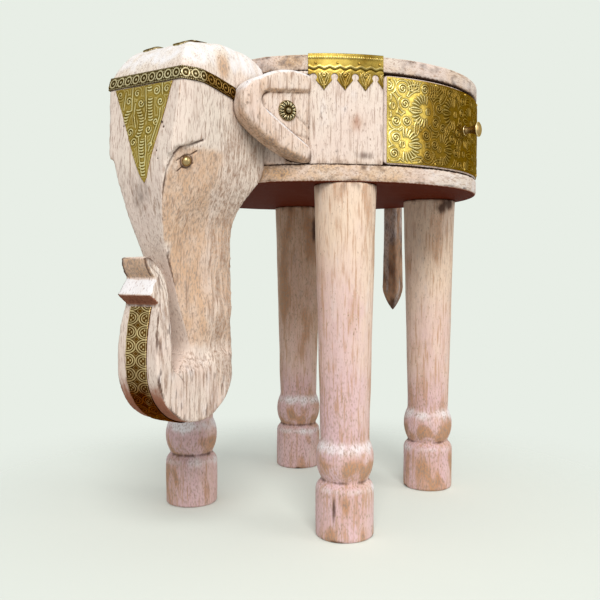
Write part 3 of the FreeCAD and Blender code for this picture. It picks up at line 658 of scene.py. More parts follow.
coat = coat_of(len(points))
coat["tan"] = most(
    bare_side * (1 - 0.9 * curl_side) * (0.72 + 0.1 * ragged),
    # Lower rear of the trunk's side: tan as painted shade
    0.62 * behind * ramp(z, 345, 300) * (1 - curl_side),
    most(rubbed_patch, 0.75 * jaw) * (0.8 + 0.5 * ragged),
    0.55 * edges * ramp(ragged, -0.2, 0.4),
    0.85 * lip_hollow,
)
coat["tint"] = 0.3 + 0.3 * front * ramp(z, 235, 258) + 0.25 * ramp(z, 300, 200) - 0.3 * crown
coat["streak"] = 0.16 + 0.68 * behind + 0.25 * beside * ramp(wide, 0.0, 0.5) + 0.35 * apex
coat["streak"] = coat["streak"] * (1 - 0.8 * crown) + 0.42 * curl_side
coat["chalk_and_highlight"] = most(
    1.2 * lip_top,
    0.7 * crown * (1 - rubbed_patch),
    0.35 * ramp(wide, 0.1, 0.5) * ramp(z, 380, 400),
    0.24 * curl_side,
)
coat["dirt_and_shade"] = most(
    0.85 * ramp(turn, -0.25, -0.85) * (1 - 0.8 * trunk_front),
    0.8 * lids,
    0.8 * crease * (0.9 + 0.3 * ragged),
    0.85 * brow * (0.95 + 0.3 * ragged),
    0.5 * curl_side * ramp(bumps(points, (2.4, 2.4, 11), 9.4), 0.12, 0.45),
    0.55 * rim_line,
    0.75 * eye_rim,
    0.5 * apex,
    0.75 * curl_part * edges * ramp(ragged, -0.5, 0.2),
    1.1 * holes,
    0.9 * lip_arris,
    # Lower rear of the trunk's side: darker, as painted shade
    0.2 * behind * ramp(z, 310, 260) * (1 - curl_side),
)
coat["stain"] = most(0.62 * under_curl, 0.66 * under_lip)
paint(head_mesh, **coat)
head_piece = show("carved_head", head_mesh, head_wood, "whitewashed_wood", "table", "head")

# %% [markdown]
# Everything else in wood is made by the same steps, so one function does it. It takes the node, the size of
# the net, how soft its edges are, how uneven the hand left it, and a function that paints it. Outer edges are
# rubbed to bare wood in places, and inner corners are darker.

# %% One function for the plainer wooden pieces


def wooden_piece(name, node, cell, rounds, uneven, material, slot, body, painter):
    """A softened, slightly uneven copy of a wooden CAD node, painted by its own function."""
    mesh = carved_mesh(node, cell, rounds)
    points, normals = read_points(mesh), read_normals(mesh)
    turn = relative_turn(mesh, points, normals)
    points += normals * (uneven * bumps(points, 26, 5.3))[:, None]
    points[:, 2] = np.maximum(points[:, 2], 0)
    write_points(mesh, points)
    ragged = bumps(points, (12, 12, 20), 2.9)
    coat = painter(points, normals, ragged)
    coat["tan"] = np.maximum(coat["tan"], 0.7 * ramp(turn, 0.35, 0.9) * ramp(ragged, -0.15, 0.35))
    coat["dirt_and_shade"] = np.maximum(coat["dirt_and_shade"], 0.8 * ramp(turn, -0.3, -0.9))
    paint(mesh, **coat)
    return show(name, mesh, material, slot, body, node)


def flecks_on(points):
    """Small dark flecks, alike on the ears and the wall."""
    return ramp(bumps(points, (2.2, 2.2, 4.5), 3.7), 0.25, 0.6)


def facing_out(points, normals):
    """How squarely the surface faces away from the drum's axis, or towards it."""
    return np.abs((normals[:, :2] * points[:, :2]).sum(axis=1)) / DRUM_R


print("wood pieces to come:", [n for n in frame["nodes"] if "wall" in n or "board" in n or "leg_" in n])

# %% [markdown]
# Each ear is a thick board with a fat rounded rim and a sunk panel. The carver scored two lines across the
# panel, beside the lower rim. Their places are measured forward along the ear and up from the floor.
# The rim's top is painted white as a painted highlight, and its lower side browner and darker as painted
# shade.

# %% Ears
EAR_REAR = np.array([-156.0, -90.0])
EAR_FORWARD = np.array([-0.913, 0.409])
EAR_LINES = [
    [(50.0, 418.0), (47.0, 408.0), (37.8, 400.3), (21.8, 392.0), (1.0, 387.0)],
    [(16.0, 408.0), (1.0, 398.0)],
]
SCORE_WIDTH, SCORE_DEPTH = 1.3, 1.1


def ear_scores(points, normals):
    """1 on the scored lines of either ear's panel, 0 elsewhere."""
    across = np.c_[points[:, 0], -np.abs(points[:, 1])] - EAR_REAR
    flat = np.c_[across @ EAR_FORWARD, points[:, 2]]
    away = np.minimum(*[line_distance(flat, route) for route in EAR_LINES])
    return hump(away, SCORE_WIDTH) * ramp(np.abs(normals[:, 1]), 0.7, 0.85)


def ear_painter(points, normals, ragged):
    """White top as a painted highlight, brown lower rim as painted shade, dirty tip and scored lines."""
    mirrored = np.c_[points[:, 0], -np.abs(points[:, 1]), points[:, 2]]
    coat = coat_of(len(points), tint=0.45)
    # Faces turned down are painted browner and darker, as painted shade
    low = ramp(-normals[:, 2], 0.15, 0.7)
    coat["tan"] = 0.34 + 0.2 * ramp(ragged, 0, 0.6) + 0.55 * low * (0.8 + 0.5 * ragged)
    coat["streak"] = 0.34 + 0.25 * ramp(ragged, -0.2, 0.5)
    # Faces turned up are painted white, as a painted highlight
    coat["chalk_and_highlight"] = 0.75 * ramp(normals[:, 2], 0.1, 0.7) + 0.06
    coat["dirt_and_shade"] = most(
        spot(mirrored, (-157, -90, 371), (6, 6, 8)),
        # Lower faces low on the ear: painted shade
        0.3 * low * ramp(points[:, 2], 400, 370),
        0.42 * flecks_on(points),
        0.45 * ear_scores(points, normals),
    )
    return coat


for side in ("left", "right"):
    ear = wooden_piece(
        f"carved_ear_{side}", f"{side}_ear", 1.0, 24, 0.25,
        head_wood, "whitewashed_wood", "table", ear_painter,
    )
    points, normals = read_points(ear.data), read_normals(ear.data)
    write_points(ear.data, points - normals * (SCORE_DEPTH * ear_scores(points, normals))[:, None])

# %% [markdown]
# The drum is two thick round boards with curved wall blocks between them. The rims are warm, mottled and
# brown where hands wore them, the top edge has a thin dark line, and the underside is dark reddish brown.

# %% Boards, wall blocks, neck and tail
BASE_Z = 364.0
TOP_Z = 466.8


def board_painter(points, normals, ragged):
    """Mottled rims, a cleaner face on top, a stained underside and painted shade inside the gaps."""
    z = points[:, 2]
    rim = 1 - ramp(np.abs(normals[:, 2]), 0.5, 0.8)
    low_board = ramp(z, 420, 380)
    wide = bumps(points, (40, 40, 14), 8.1)
    dark_edge = rim * ramp(z, TOP_Z - 3.2, TOP_Z - 1.0) * ramp(ragged, -0.4, 0.2)
    worn = spot(points, (-168, -64, 356), (18, 22, 9))
    handled = spot(points, (-163, -74, 460), (20, 20, 9))
    # Faces inside the gap between the boards are painted dark, as painted shade
    gap_shade = ramp(-normals[:, 2], 0.6, 0.9) * (1 - low_board) + ramp(normals[:, 2], 0.6, 0.9) * low_board
    coat = coat_of(len(points), tint=0.4, streak=0.3)
    clean = low_board * ramp(points[:, 0], -110, -40) * ramp(points[:, 1], 0, -30)
    specks = ramp(bumps(points, (8, 8, 5), 4.9), 0.0, 0.45)
    mottle = 0.12 + 0.36 * low_board + 0.3 * ramp(wide + 0.4 * ragged, 0.0, 0.6)
    coat["tan"] = most(rim * mottle * (1 - 0.7 * clean), worn, 0.8 * handled)
    coat["chalk_and_highlight"] = 0.25 * rim * (1 - low_board) + 0.35 * rim * clean
    coat["dirt_and_shade"] = most(
        0.9 * dark_edge,
        0.5 * rim * ramp(ragged - wide, 0.0, 0.8) * (1 - 0.8 * clean),
        rim * (1 - low_board) * (0.18 + 0.26 * specks),
        0.38 * rim * low_board * specks * (1 - clean),
        0.4 * handled,
        0.6 * rim * ramp(z, BASE_Z - 11, BASE_Z - 15) * ramp(ragged, -0.3, 0.3),
        gap_shade,
    )
    coat["stain"] = ramp(-normals[:, 2], 0.6, 0.9) * low_board
    return coat


def wall_painter(points, normals, ragged):
    """A few stains on the left front, grey dirt low down, and painted shade inside the gaps."""
    knot = spot(points, (-129.4, -125.1, 403), (8, 8, 11))
    smear = spot(points, (-123, -131.4, 372), (12, 12, 5))
    low = ramp(points[:, 2], BASE_Z + 12, BASE_Z) * ramp(ragged, -0.3, 0.4)
    coat = coat_of(len(points), tint=0.5, streak=0.2)
    coat["chalk_and_highlight"] = 0.12 + 0.2 * ramp(-ragged, 0, 0.5)
    coat["tan"] = np.maximum(0.5 * knot, 0.16 + 0.3 * low)
    coat["stain"] = 0.27 * knot
    coat["dirt_and_shade"] = most(
        0.3 * knot,
        0.7 * smear,
        0.4 * low,
        # Faces inside the gaps round the drawer are painted dark, as painted shade
        0.95 * ramp(facing_out(points, normals), 0.75, 0.5),
        0.42 * flecks_on(points),
    )
    return coat


def tail_painter(points, normals, ragged):
    """Thin paint, rubbed through to brown, and dark at the tip."""
    z = points[:, 2]
    coat = coat_of(len(points), tint=0.3, streak=0.5, tan=0.85)
    coat["dirt_and_shade"] = 0.4 + 0.35 * ramp(z, 240, 205) + 0.25 * ragged
    coat["chalk_and_highlight"] = 0.6 * ramp(bumps(points, (7, 7, 70), 1.7), 0.05, 0.35)
    return coat


for name, node, cell, rounds, wood, painter in (
    ("table_top", "top_board", 2.0, 2, board_wood, board_painter),
    ("drum_floor", "bottom_board", 2.0, 2, board_wood, board_painter),
    ("wall_block_left_front", "wall_left_front", 1.4, 2, head_wood, wall_painter),
    ("wall_block_rear", "wall_rear", 1.8, 2, head_wood, wall_painter),
    ("wall_block_right_side", "wall_right_side", 1.8, 2, head_wood, wall_painter),
    ("wall_block_right_front", "wall_right_front", 1.6, 2, head_wood, wall_painter),
    ("neck", "neck_block", 1.6, 2, head_wood, wall_painter),
    ("carved_tail", "tail", 1.2, 16, leg_wood, tail_painter),
):
    wooden_piece(name, node, cell, rounds, 0.18, wood, "whitewashed_wood", "table", painter)

# %% [markdown]
# The legs were turned on a simple lathe and painted more thinly than the head. They are creamy above, pink
# towards the floor, and rubbed to brown wood in long streaks. The tops of the beads are white, the grooves
# are dark with dirt, and there are a few knots and cracks. The rear legs are browner from thinner paint and
# painted shade, the far legs are browner higher up as painted shade, and the tops of the legs under the drum
# are darker as painted shade.

# %% Turned legs
LEG_TOP_Z = 347.5
GROOVE_Z = 57.5
BEAD_Z = (60.0, 96.0)
KNOTS = [
    ((81, -120, 337), (7, 7, 8)), ((93, 66, 318), (5, 5, 18)), ((-138.5, -106.3, 33), (1.2, 2.0, 14)),
    ((84, -122, 53), (3, 3, 4)), ((-88, 76, 58), (9, 9, 4)), ((90, -123, 342), (13, 13, 8)),
]


def leg_painter(points, normals, ragged):
    """Cream above, pink below, brown streaks, white beads and dirty grooves."""
    x, y, z = points.T
    patch = bumps(points, (20, 20, 75), 4.4)
    bead = ramp(z, BEAD_Z[0] - 4, BEAD_Z[0]) * ramp(z, BEAD_Z[1] + 4, BEAD_Z[1])
    coat = coat_of(len(points))
    rear = ramp(x, 0, 40)
    facing = -normals[:, 0] + 0.4 * ragged
    rubbed = ramp(patch + 0.3 * ragged, 0.0, 0.6)
    # Rear legs are browner, from thinner paint and painted shade
    coat["tan"] = 0.42 * rubbed + 0.22 * rear + 0.22 * ramp(-normals[:, 0], 0.3, -0.4)
    coat["tan"] += 0.6 * bead * ramp(z, 84, 74) * ramp(ragged, -0.1, 0.3)
    # Legs on the far side are browner higher up, as painted shade
    coat["tan"] += 0.3 * ramp(y, 20, 60) * ramp(z, 120, 220)
    slanted = np.c_[points[:, :2], z - 0.9 * (y - x)]
    smear = ramp(z, 52, 40) * ramp(bumps(slanted, (13, 13, 30), 6.6), 0.08, 0.45)
    coat["tan"] += 0.45 * smear
    coat["tint"] = ramp(z, 330, 60) * 0.75 + 0.35 * ramp(facing, 0.0, 0.8) * ramp(z, 340, 240)
    coat["tint"] *= 1 - 0.5 * rear * ramp(z, 100, 150)
    coat["streak"] = 0.34 + 0.25 * ramp(patch, -0.3, 0.4)
    chalky = hump(z - 91, 8) + 0.7 * hump(z - 50, 5)
    coat["chalk_and_highlight"] = 0.75 * chalky * (0.9 + 0.4 * ragged) + 0.3 * ramp(patch, 0.0, -0.4)
    groove = hump(z - GROOVE_Z, 2.2)
    floor_edge = ramp(z, 6, 1) * ramp(ragged, -0.1, 0.5)
    # Tops of the legs under the drum are darker, as painted shade
    under_drum = 0.45 * ramp(z, LEG_TOP_Z - 14, LEG_TOP_Z) * ramp(ragged, -0.3, 0.3)
    marks = most(*[spot(points, centre, reach) for centre, reach in KNOTS])
    coat["dirt_and_shade"] = most(
        0.7 * groove * ramp(ragged, -0.6, 0.1),
        0.8 * floor_edge,
        under_drum,
        0.95 * marks,
        # Rear legs darker, as painted shade
        0.12 * rear,
        0.18 * smear,
    )
    return coat


for end in ("front", "rear"):
    for side in ("left", "right"):
        leg = f"leg_{end}_{side}"
        wooden_piece(f"turned_{leg}", leg, 1.5, 2, 0.45, leg_wood, "leg_wood", "table", leg_painter)

# %% [markdown]
# The drawer front is a curved block of the same whitewashed wood. Only its edge shows round the brass.

# %% Drawer front


def drawer_painter(points, normals, ragged):
    """Thin pinkish paint on the front, and painted shade on the faces inside its gap."""
    coat = coat_of(len(points), tint=0.6, streak=0.3, tan=0.15 + 0.3 * ramp(ragged, 0.1, 0.6))
    # Faces inside the gap are painted dark, as painted shade
    coat["dirt_and_shade"] = 0.9 * ramp(facing_out(points, normals), 0.8, 0.5)
    return coat


wooden_piece(
    "drawer_face", "drawer_front", 1.3, 2, 0.08, head_wood, "whitewashed_wood", "drawer", drawer_painter
)

# %% [markdown]
# The brass sheets are embossed with palmettes, curls, leaves and stems, a common kind of pattern. Each motif
# is a function that gives its height, from 0 to about 1, at flat places u and v in millimetres. Where motifs
# meet, the higher one counts.

# %% Motifs in relief
STEM_WIDTH = 0.6


def shell(r, angle, reach, ribs, half_deg):
    """A scallop of short ribs between two radii, centred on angle 0."""
    share = angle / math.radians(half_deg)
    rib = (0.5 + 0.5 * np.cos(math.pi * (ribs - 1) * share)) ** 1.4
    tips = ramp(r, reach * (0.94 + 0.06 * rib), reach * (0.82 + 0.06 * rib))
    inside = ramp(r, 0.34 * reach, 0.52 * reach) * tips
    return inside * rib * ramp(np.abs(share), 1.08, 1.0)


def palmette(u, v, at, turn_deg, reach, ribs):
    """Two scallops beside a pointed leaf, with a small leaf behind them."""
    du, dv = u - at[0], v - at[1]
    r = np.hypot(du, dv)
    height = leaf(u, v, spread_from(at, turn_deg, 0.62 * reach), turn_deg, 0.95 * reach, 0.24 * reach)
    height = np.maximum(height, leaf(u, v, spread_from(at, turn_deg, -0.3 * reach), turn_deg + 90, 7, 5))
    for side in (-1, 1):
        angle = np.arctan2(dv, du) - math.radians(turn_deg + side * 68)
        angle = np.arctan2(np.sin(angle), np.cos(angle)) + side * 0.25 * (r / reach) ** 2
        height = np.maximum(height, shell(r, angle, reach, ribs, 56))
    return height


def spread_from(at, turn_deg, reach):
    """The point some way from another in a direction."""
    turn = math.radians(turn_deg)
    return (at[0] + reach * math.cos(turn), at[1] + reach * math.sin(turn))


def echo(away, pitch, width):
    """Lines that follow the outline of a motif at even steps."""
    step = (away - 0.35 * pitch) % pitch - pitch / 2
    return hump(step, width) * ramp(away, 0.2, 0.6)


def curl(u, v, at, reach, pitch, hand):
    """A coiled line, like a fern tip."""
    du, dv = u - at[0], v - at[1]
    r = np.hypot(du, dv)
    turn_share = np.arctan2(dv, du) / (2 * math.pi)
    coil = 0.5 + 0.5 * np.cos(2 * math.pi * (r / pitch - hand * turn_share))
    return coil ** 1.5 * ramp(r, reach, reach * 0.82)


def leaf(u, v, at, turn_deg, length, width):
    """A pointed leaf with a raised outline and vein."""
    c, s = math.cos(math.radians(turn_deg)), math.sin(math.radians(turn_deg))
    a = (u - at[0]) * c + (v - at[1]) * s
    b = -(u - at[0]) * s + (v - at[1]) * c
    half = width / 2 * np.sqrt(np.clip(1 - (2 * a / length) ** 2, 0, 1))
    within = ramp(np.abs(a), length / 2, length / 2 - 0.6)
    return within * np.maximum(hump(np.abs(b) - half, 0.55), 0.7 * hump(b, 0.4))


def stem(u, v, route):
    """A raised line along straight runs."""
    return hump(line_distance(np.c_[u, v], route), STEM_WIDTH)


vein = leaf(np.array([1.0]), np.array([0.0]), (0, 0), 0, 16, 6)
print("leaf height on its vein:", round(float(vein[0]), 2))

# %% [markdown]
# The drawer's plate is made as a flat grid of half-millimetre cells, whose points are raised by the motifs.
# Then it is bent to the drum's curve, and its border is turned back to give the sheet an edge. Places are
# in millimetres along the curve from its middle, and up from the floor. Two rows of palmettes face opposite
# ways, curls and leaves lie between them, and lines that echo their outlines fill the rest of the ground.

# %% Embossed drawer plate
plate_low, plate_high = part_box("drawer_plate")
PLATE_Z = (plate_low.z / MM, plate_high.z / MM)
PLATE_HALF_X = (plate_high.x - plate_low.x) / 2 / MM
PLATE_HALF = math.asin(PLATE_HALF_X / DRUM_R) * DRUM_R
PLATE_CELL = 0.5
PLATE_THICK = 0.9
EMBOSS = 0.8
CURL_REACH, CURL_PITCH = 5.6, 2.5
LEAF_SIZE = (15.0, 6.0)
PALMETTES = [
    (-71, 419, 180, 17, 8), (-92, 385, 0, 17, 8), (-27, 422, 180, 17, 8), (-44, 384, 0, 17, 8),
    (14, 419, 180, 17, 8), (2, 384, 0, 17, 8), (57, 420, 180, 17, 8), (46, 385, 0, 17, 8),
    (100, 420, 180, 17, 8), (89, 384, 0, 17, 8), (-112, 421, 180, 12, 6),
]
CURLS = [
    (-94, 424), (-92, 408), (-104, 391), (-68, 396), (-70, 440), (-66, 377), (-97, 438), (-104, 407),
    (-55, 409), (-56, 388), (-106, 376), (-50, 424), (-44, 405), (-28, 397), (-16, 404), (-20, 384),
    (-8, 425), (-6, 438), (-32, 441), (-12, 372), (12, 398), (28, 404), (28, 384), (34, 424),
    (24, 439), (30, 372), (46, 441), (56, 400), (72, 404), (70, 384), (78, 426), (66, 440),
    (74, 372), (92, 404), (100, 439), (108, 400), (86, 440), (-112, 440),
]
LEAVES = [
    (-57, 437, 20), (-44, 434, 45), (-84, 440, 10), (-80, 402, 80), (-36, 404, 60), (-14, 393, 70),
    (-49, 371, 5), (-80, 371, 10), (4, 404, 30), (8, 440, 15), (16, 372, 5), (40, 405, 60), (62, 372, 5),
    (84, 404, 60), (104, 372, 5),
]


def drawer_relief(u, v):
    """Height of the drawer plate's pattern, from 0 to about 1."""
    height = np.zeros(len(u))
    away = np.full(len(u), np.inf)
    for at_u, at_v, turn_deg, reach, ribs in PALMETTES:
        height = np.maximum(height, palmette(u, v, (at_u, at_v), turn_deg, reach, ribs))
        middle = spread_from((at_u, at_v), turn_deg, 0.3 * reach)
        away = np.minimum(away, np.hypot(u - middle[0], v - middle[1]) - 0.95 * reach)
    for index, at in enumerate(CURLS):
        hand = 1 if index % 2 else -1
        height = np.maximum(height, 0.95 * curl(u, v, at, CURL_REACH, CURL_PITCH, hand))
        away = np.minimum(away, np.hypot(u - at[0], v - at[1]) - CURL_REACH)
    for at_u, at_v, turn_deg in LEAVES:
        height = np.maximum(height, leaf(u, v, (at_u, at_v), turn_deg, *LEAF_SIZE))
    height = np.maximum(height, 0.8 * echo(away, 2.7, 0.6))
    edge = np.minimum(PLATE_HALF - np.abs(u), np.minimum(v - PLATE_Z[0], PLATE_Z[1] - v))
    return height * ramp(edge, 1.0, 2.4)


tall = PLATE_Z[1] - PLATE_Z[0]
wide_cells, tall_cells = round(2 * PLATE_HALF / PLATE_CELL), round(tall / PLATE_CELL)
shape = bmesh.new()
bmesh.ops.create_grid(shape, x_segments=wide_cells, y_segments=tall_cells, size=0.5)
bmesh.ops.scale(shape, vec=(2 * PLATE_HALF, tall, 1), verts=shape.verts)
rim = [edge for edge in shape.edges if edge.is_boundary]
turned_in = bmesh.ops.extrude_edge_only(shape, edges=rim)["geom"]
sunk = [item for item in turned_in if isinstance(item, bmesh.types.BMVert)]
bmesh.ops.translate(shape, verts=sunk, vec=(0, 0, -PLATE_THICK))
plate_mesh = settle(shape, bpy.data.meshes.new("drawer_brass"))
flat = np.empty(len(plate_mesh.vertices) * 3)
plate_mesh.vertices.foreach_get("co", flat)
u, v, depth = flat.reshape(-1, 3).T
v = v + sum(PLATE_Z) / 2
relief = drawer_relief(u, v) * (depth > -0.5 * PLATE_THICK)
dents = bumps(np.c_[u, v, depth], 23, 6.1)
radius = DRUM_R + depth + EMBOSS * relief + 0.12 * dents
angle = u / DRUM_R - math.pi / 2
write_points(plate_mesh, np.c_[radius * np.cos(angle), radius * np.sin(angle), v])
# Browner towards the right, as painted shade where the curved sheet turns away from the light; the dents add
# uneven tarnish
tarnish = 0.9 * ramp(u, -116, -45) + 0.2 * ramp(dents, 0.0, 0.5)
paint(plate_mesh, relief=relief_of(plate_mesh, relief), tarnish=tarnish)
show("drawer_brass", plate_mesh, bright_brass, "bright_brass", "drawer", "drawer_plate")

# %% [markdown]
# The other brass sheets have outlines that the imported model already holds, cut to fit the carving. So a
# copy of each is sliced by many planes into small cells, and the points on its outer face are raised by a
# pattern. Slicing keeps the outline exact, where a grid would give it steps.

# %% Helpers for sliced sheets


def sliced_copy(node, spans):
    """A merged copy of a sheet, cut by planes across the given axes at even steps in millimetres."""
    shape = merged_copy(node)
    for axis, low, high, step in spans:
        normal = Vector([1.0 if i == axis else 0.0 for i in range(3)])
        for count in range(1, int((high - low) / step)):
            centre = [0.0, 0.0, 0.0]
            centre[axis] = low + count * step
            bmesh.ops.bisect_plane(
                shape,
                geom=shape.verts[:] + shape.edges[:] + shape.faces[:],
                plane_co=place(*centre),
                plane_no=normal,
                dist=0.002 * MM,
            )
    bmesh.ops.recalc_face_normals(shape, faces=shape.faces)
    return settle(shape, bpy.data.meshes.new(node + "_sheet"))


def run_length(angle, points, steps=160):
    """Length along a bent sheet at each point, worked out from the angle round its middle."""
    edges = np.linspace(angle.min(), angle.max(), steps + 1)
    bins = np.clip(np.digitize(angle, edges) - 1, 0, steps - 1)
    filled = np.array([step for step in range(steps) if (bins == step).any()])
    centres = np.array([points[bins == step].mean(axis=0) for step in filled])
    lengths = np.r_[0, np.cumsum(np.linalg.norm(np.diff(centres, axis=0), axis=1))]
    return np.interp(angle, (edges[filled] + edges[filled + 1]) / 2, lengths)


def emboss(mesh, outward, height, depth, tarnish=0.0):
    """Raise the points of the outer face by a pattern and store the relief and the tarnish, with any painted
    shade.
    """
    points, normals = read_points(mesh), read_normals(mesh)
    outer = ramp((normals * outward).sum(axis=1), 0.55, 0.8)
    write_points(mesh, points + normals * (depth * height * outer)[:, None])
    paint(mesh, relief=relief_of(mesh, height * outer), tarnish=np.zeros(len(points)) + tarnish)


def repeat(run, pitch):
    """Distance along a row from the nearest of its evenly spaced motifs."""
    return (run + pitch / 2) % pitch - pitch / 2


def unit(vectors):
    """The same directions at length 1."""
    return vectors / np.maximum(np.linalg.norm(vectors, axis=1), 1e-9)[:, None]


print("sheets to slice: forehead_plate, brow_strap, trunk_strap, valances")

# %% [markdown]
# The forehead plate is a brass triangle. Short feathers of stacked crescents curve down it, with stems and
# coiled tips beside them, and the tips get smaller towards the point.

# %% Forehead plate
FEATHERS = [
    [(-10, 413), (-10, 404), (-12, 391)], [(4, 404), (-1, 394), (-1, 387), (2, 379)],
    [(-4, 377), (-3, 369), (-5, 360)],
    [(14, 405), (18, 400), (20, 392)], [(-8, 424), (-9, 417)], [(-5, 358), (-6, 344)],
]
PLATE_CURLS = [
    (-17, 418, 4.6), (-29, 418, 3.6), (-22, 408, 3.8), (16, 412, 4.2), (1, 409, 4.2), (12, 384, 4.2),
    (-10, 385, 4.2), (7, 375, 4.2), (-14, 371, 3.0), (-2, 354, 2.4), (27, 419, 3.4), (6, 418, 3.4),
    (-18, 391, 3.4), (8, 366, 2.4),
]
PLATE_STEMS = [
    [(5, 381), (1, 379), (0, 370), (-2, 358), (-4, 347)], [(12, 424), (12, 412), (12, 404)],
    [(8, 409), (9, 399), (6, 388)], [(-4, 422), (-5, 410), (-6, 402), (-5, 394)], [(-23, 424), (-24, 414)],
    [(-22, 402), (-22, 395), (-18, 384), (-12, 366)], [(-7, 380), (-9, 367), (-8, 354)],
    [(20, 420), (22, 405)],
]
FEATHER_WIDTH, FEATHER_PITCH = 6.4, 2.6
FOREHEAD_RISE = 0.7


def feather(u, v, route, width, pitch):
    """Stacked crescents along a route."""
    away = line_distance(np.c_[u, v], route)
    ends = (route[0][1], route[-1][1])
    bent = v - 0.09 * away ** 2
    rib = 0.5 + 0.5 * np.cos(2 * math.pi * bent / pitch)
    between = ramp(v, ends[1] - 1, ends[1] + 1) * ramp(v, ends[0] + 1, ends[0] - 1)
    return rib * ramp(away, width / 2, width / 2 - 1.2) * between


forehead = sliced_copy("forehead_plate", [(1, -34, 34, 0.7), (2, 340, 424, 0.7)])
points = read_points(forehead)
u, v = points[:, 1], points[:, 2]
height = np.zeros(len(points))
away = np.full(len(points), np.inf)
for route in FEATHERS:
    height = np.maximum(height, feather(u, v, route, FEATHER_WIDTH, FEATHER_PITCH))
    away = np.minimum(away, line_distance(np.c_[u, v], route) - FEATHER_WIDTH / 2)
for index, (at_u, at_v, reach) in enumerate(PLATE_CURLS):
    height = np.maximum(height, curl(u, v, (at_u, at_v), reach, CURL_PITCH, 1 if index % 2 else -1))
    away = np.minimum(away, np.hypot(u - at_u, v - at_v) - reach)
for route in PLATE_STEMS:
    height = np.maximum(height, 0.85 * stem(u, v, route))
    away = np.minimum(away, line_distance(np.c_[u, v], route) - STEM_WIDTH)
height = np.maximum(height, 0.4 * echo(away, 2.3, 0.5))
emboss(forehead, np.array([[-1.0, 0, 0]]), height, FOREHEAD_RISE, 0.2 * ramp(u, 5, 30))
show("forehead_brass", forehead, olive_brass, "bright_brass", "table", "forehead_plate")

# %% [markdown]
# The brow strap is a narrow dark band with a row of rings and dots between beaded edges. The length along the
# band is measured round the skull, so that the rings stay round where the band turns the corner.

# %% Brow strap
STRAP_WIDTH = 11.5
STRAP_LOW = ([-310, -259, -243, -217], [425.0, 425.0, 422.5, 416.8])
RING_PITCH, BEAD_PITCH = 9.4, 1.8
STRAP_RISE = 0.6
SKULL_X = -225

strap = sliced_copy("brow_strap", [(1, -52, 52, 0.5), (0, -288, -216, 0.5), (2, 416, 437, 0.5)])
points = read_points(strap)
from_middle = np.c_[points[:, 0] - SKULL_X, points[:, 1]]
angle = np.arctan2(from_middle[:, 1], -from_middle[:, 0])
run = run_length(angle, points[:, :2])
run -= np.interp(0, np.sort(angle), run[np.argsort(angle)])
across = points[:, 2] - np.interp(points[:, 0], *STRAP_LOW) - STRAP_WIDTH / 2
step = repeat(run, RING_PITCH)
r = np.hypot(step, across)
corner = np.hypot(np.abs(step) - RING_PITCH / 2, np.abs(across) - 2.6)
beads = hump(np.hypot(repeat(run, BEAD_PITCH), np.abs(across) - 5.0), 0.6)
height = most(hump(r - 3.6, 0.85), hump(r, 1.2), 0.9 * hump(corner, 0.9), 0.8 * beads)
outward = unit(np.c_[from_middle, np.zeros(len(points))])
emboss(strap, outward, height, STRAP_RISE, 0.9 * ramp(points[:, 0], -264, -252))
show("brow_band", strap, antique_brass, "antique_brass", "table", "brow_strap")

# %% [markdown]
# The trunk strap runs down the outside of the curl and under its bend. Half rounds with three dots stand
# along both edges and touch in the middle, with small diamonds in the gaps. The strap is painted browner
# under the bend, as painted shade.

# %% Trunk strap
BEND_AT = (-241.0, 178.0)
ROUND_PITCH = 12.4
ROUND_REACH = 10.4
BAND_RISE = 0.7
ROUND_DOTS = [(-2.0, 1.3), (2.0, 1.3), (0.0, 3.9)]

band = sliced_copy("trunk_strap", [(1, -13, 13, 0.45), (2, 110, 233, 0.45), (0, -296, -244, 0.6)])
points = read_points(band)
from_bend = np.c_[points[:, 0] - BEND_AT[0], points[:, 2] - BEND_AT[1]]
angle = np.arctan2(from_bend[:, 1], -from_bend[:, 0])
run = run_length(angle, points[:, [0, 2]])
across = points[:, 1]
step = repeat(run, ROUND_PITCH)
to_edge = ROUND_REACH - np.abs(across)
q = np.hypot(step / (ROUND_PITCH / 2), to_edge / ROUND_REACH)
diamond = np.abs(np.abs(step) - ROUND_PITCH / 2) / 2.2 + np.abs(across) / 3.4
height = most(
    hump(q - 0.94, 0.105),
    0.95 * hump(q - 0.66, 0.09),
    *[hump(np.hypot(step - along, to_edge - inward), 1.05) for along, inward in ROUND_DOTS],
    0.45 * hump(diamond - 1, 0.2),
    0.8 * hump(np.abs(across) - 11.7, 0.5),
)
outward = unit(np.c_[from_bend[:, 0], np.zeros(len(points)), from_bend[:, 1]])
# Browner under the bend, as painted shade
emboss(band, outward, height, BAND_RISE, 0.9 * ramp(points[:, 2], 195, 140))
show("trunk_band", band, band_brass, "antique_brass", "table", "trunk_strap")

# %% [markdown]
# The valances hang from the rim of the top board. Each has beads near its upper edge, wavy lines half-way
# down, and pointed lobes with a leaf outline. The pattern is measured round the drum, so it stays even.

# %% Valances
VALANCE_FROM, VALANCE_STEP = -149.0, 6.3
VALANCE_LOW, VALANCE_TOP = 433.0, 467.0
VALANCE_RISE = 0.5


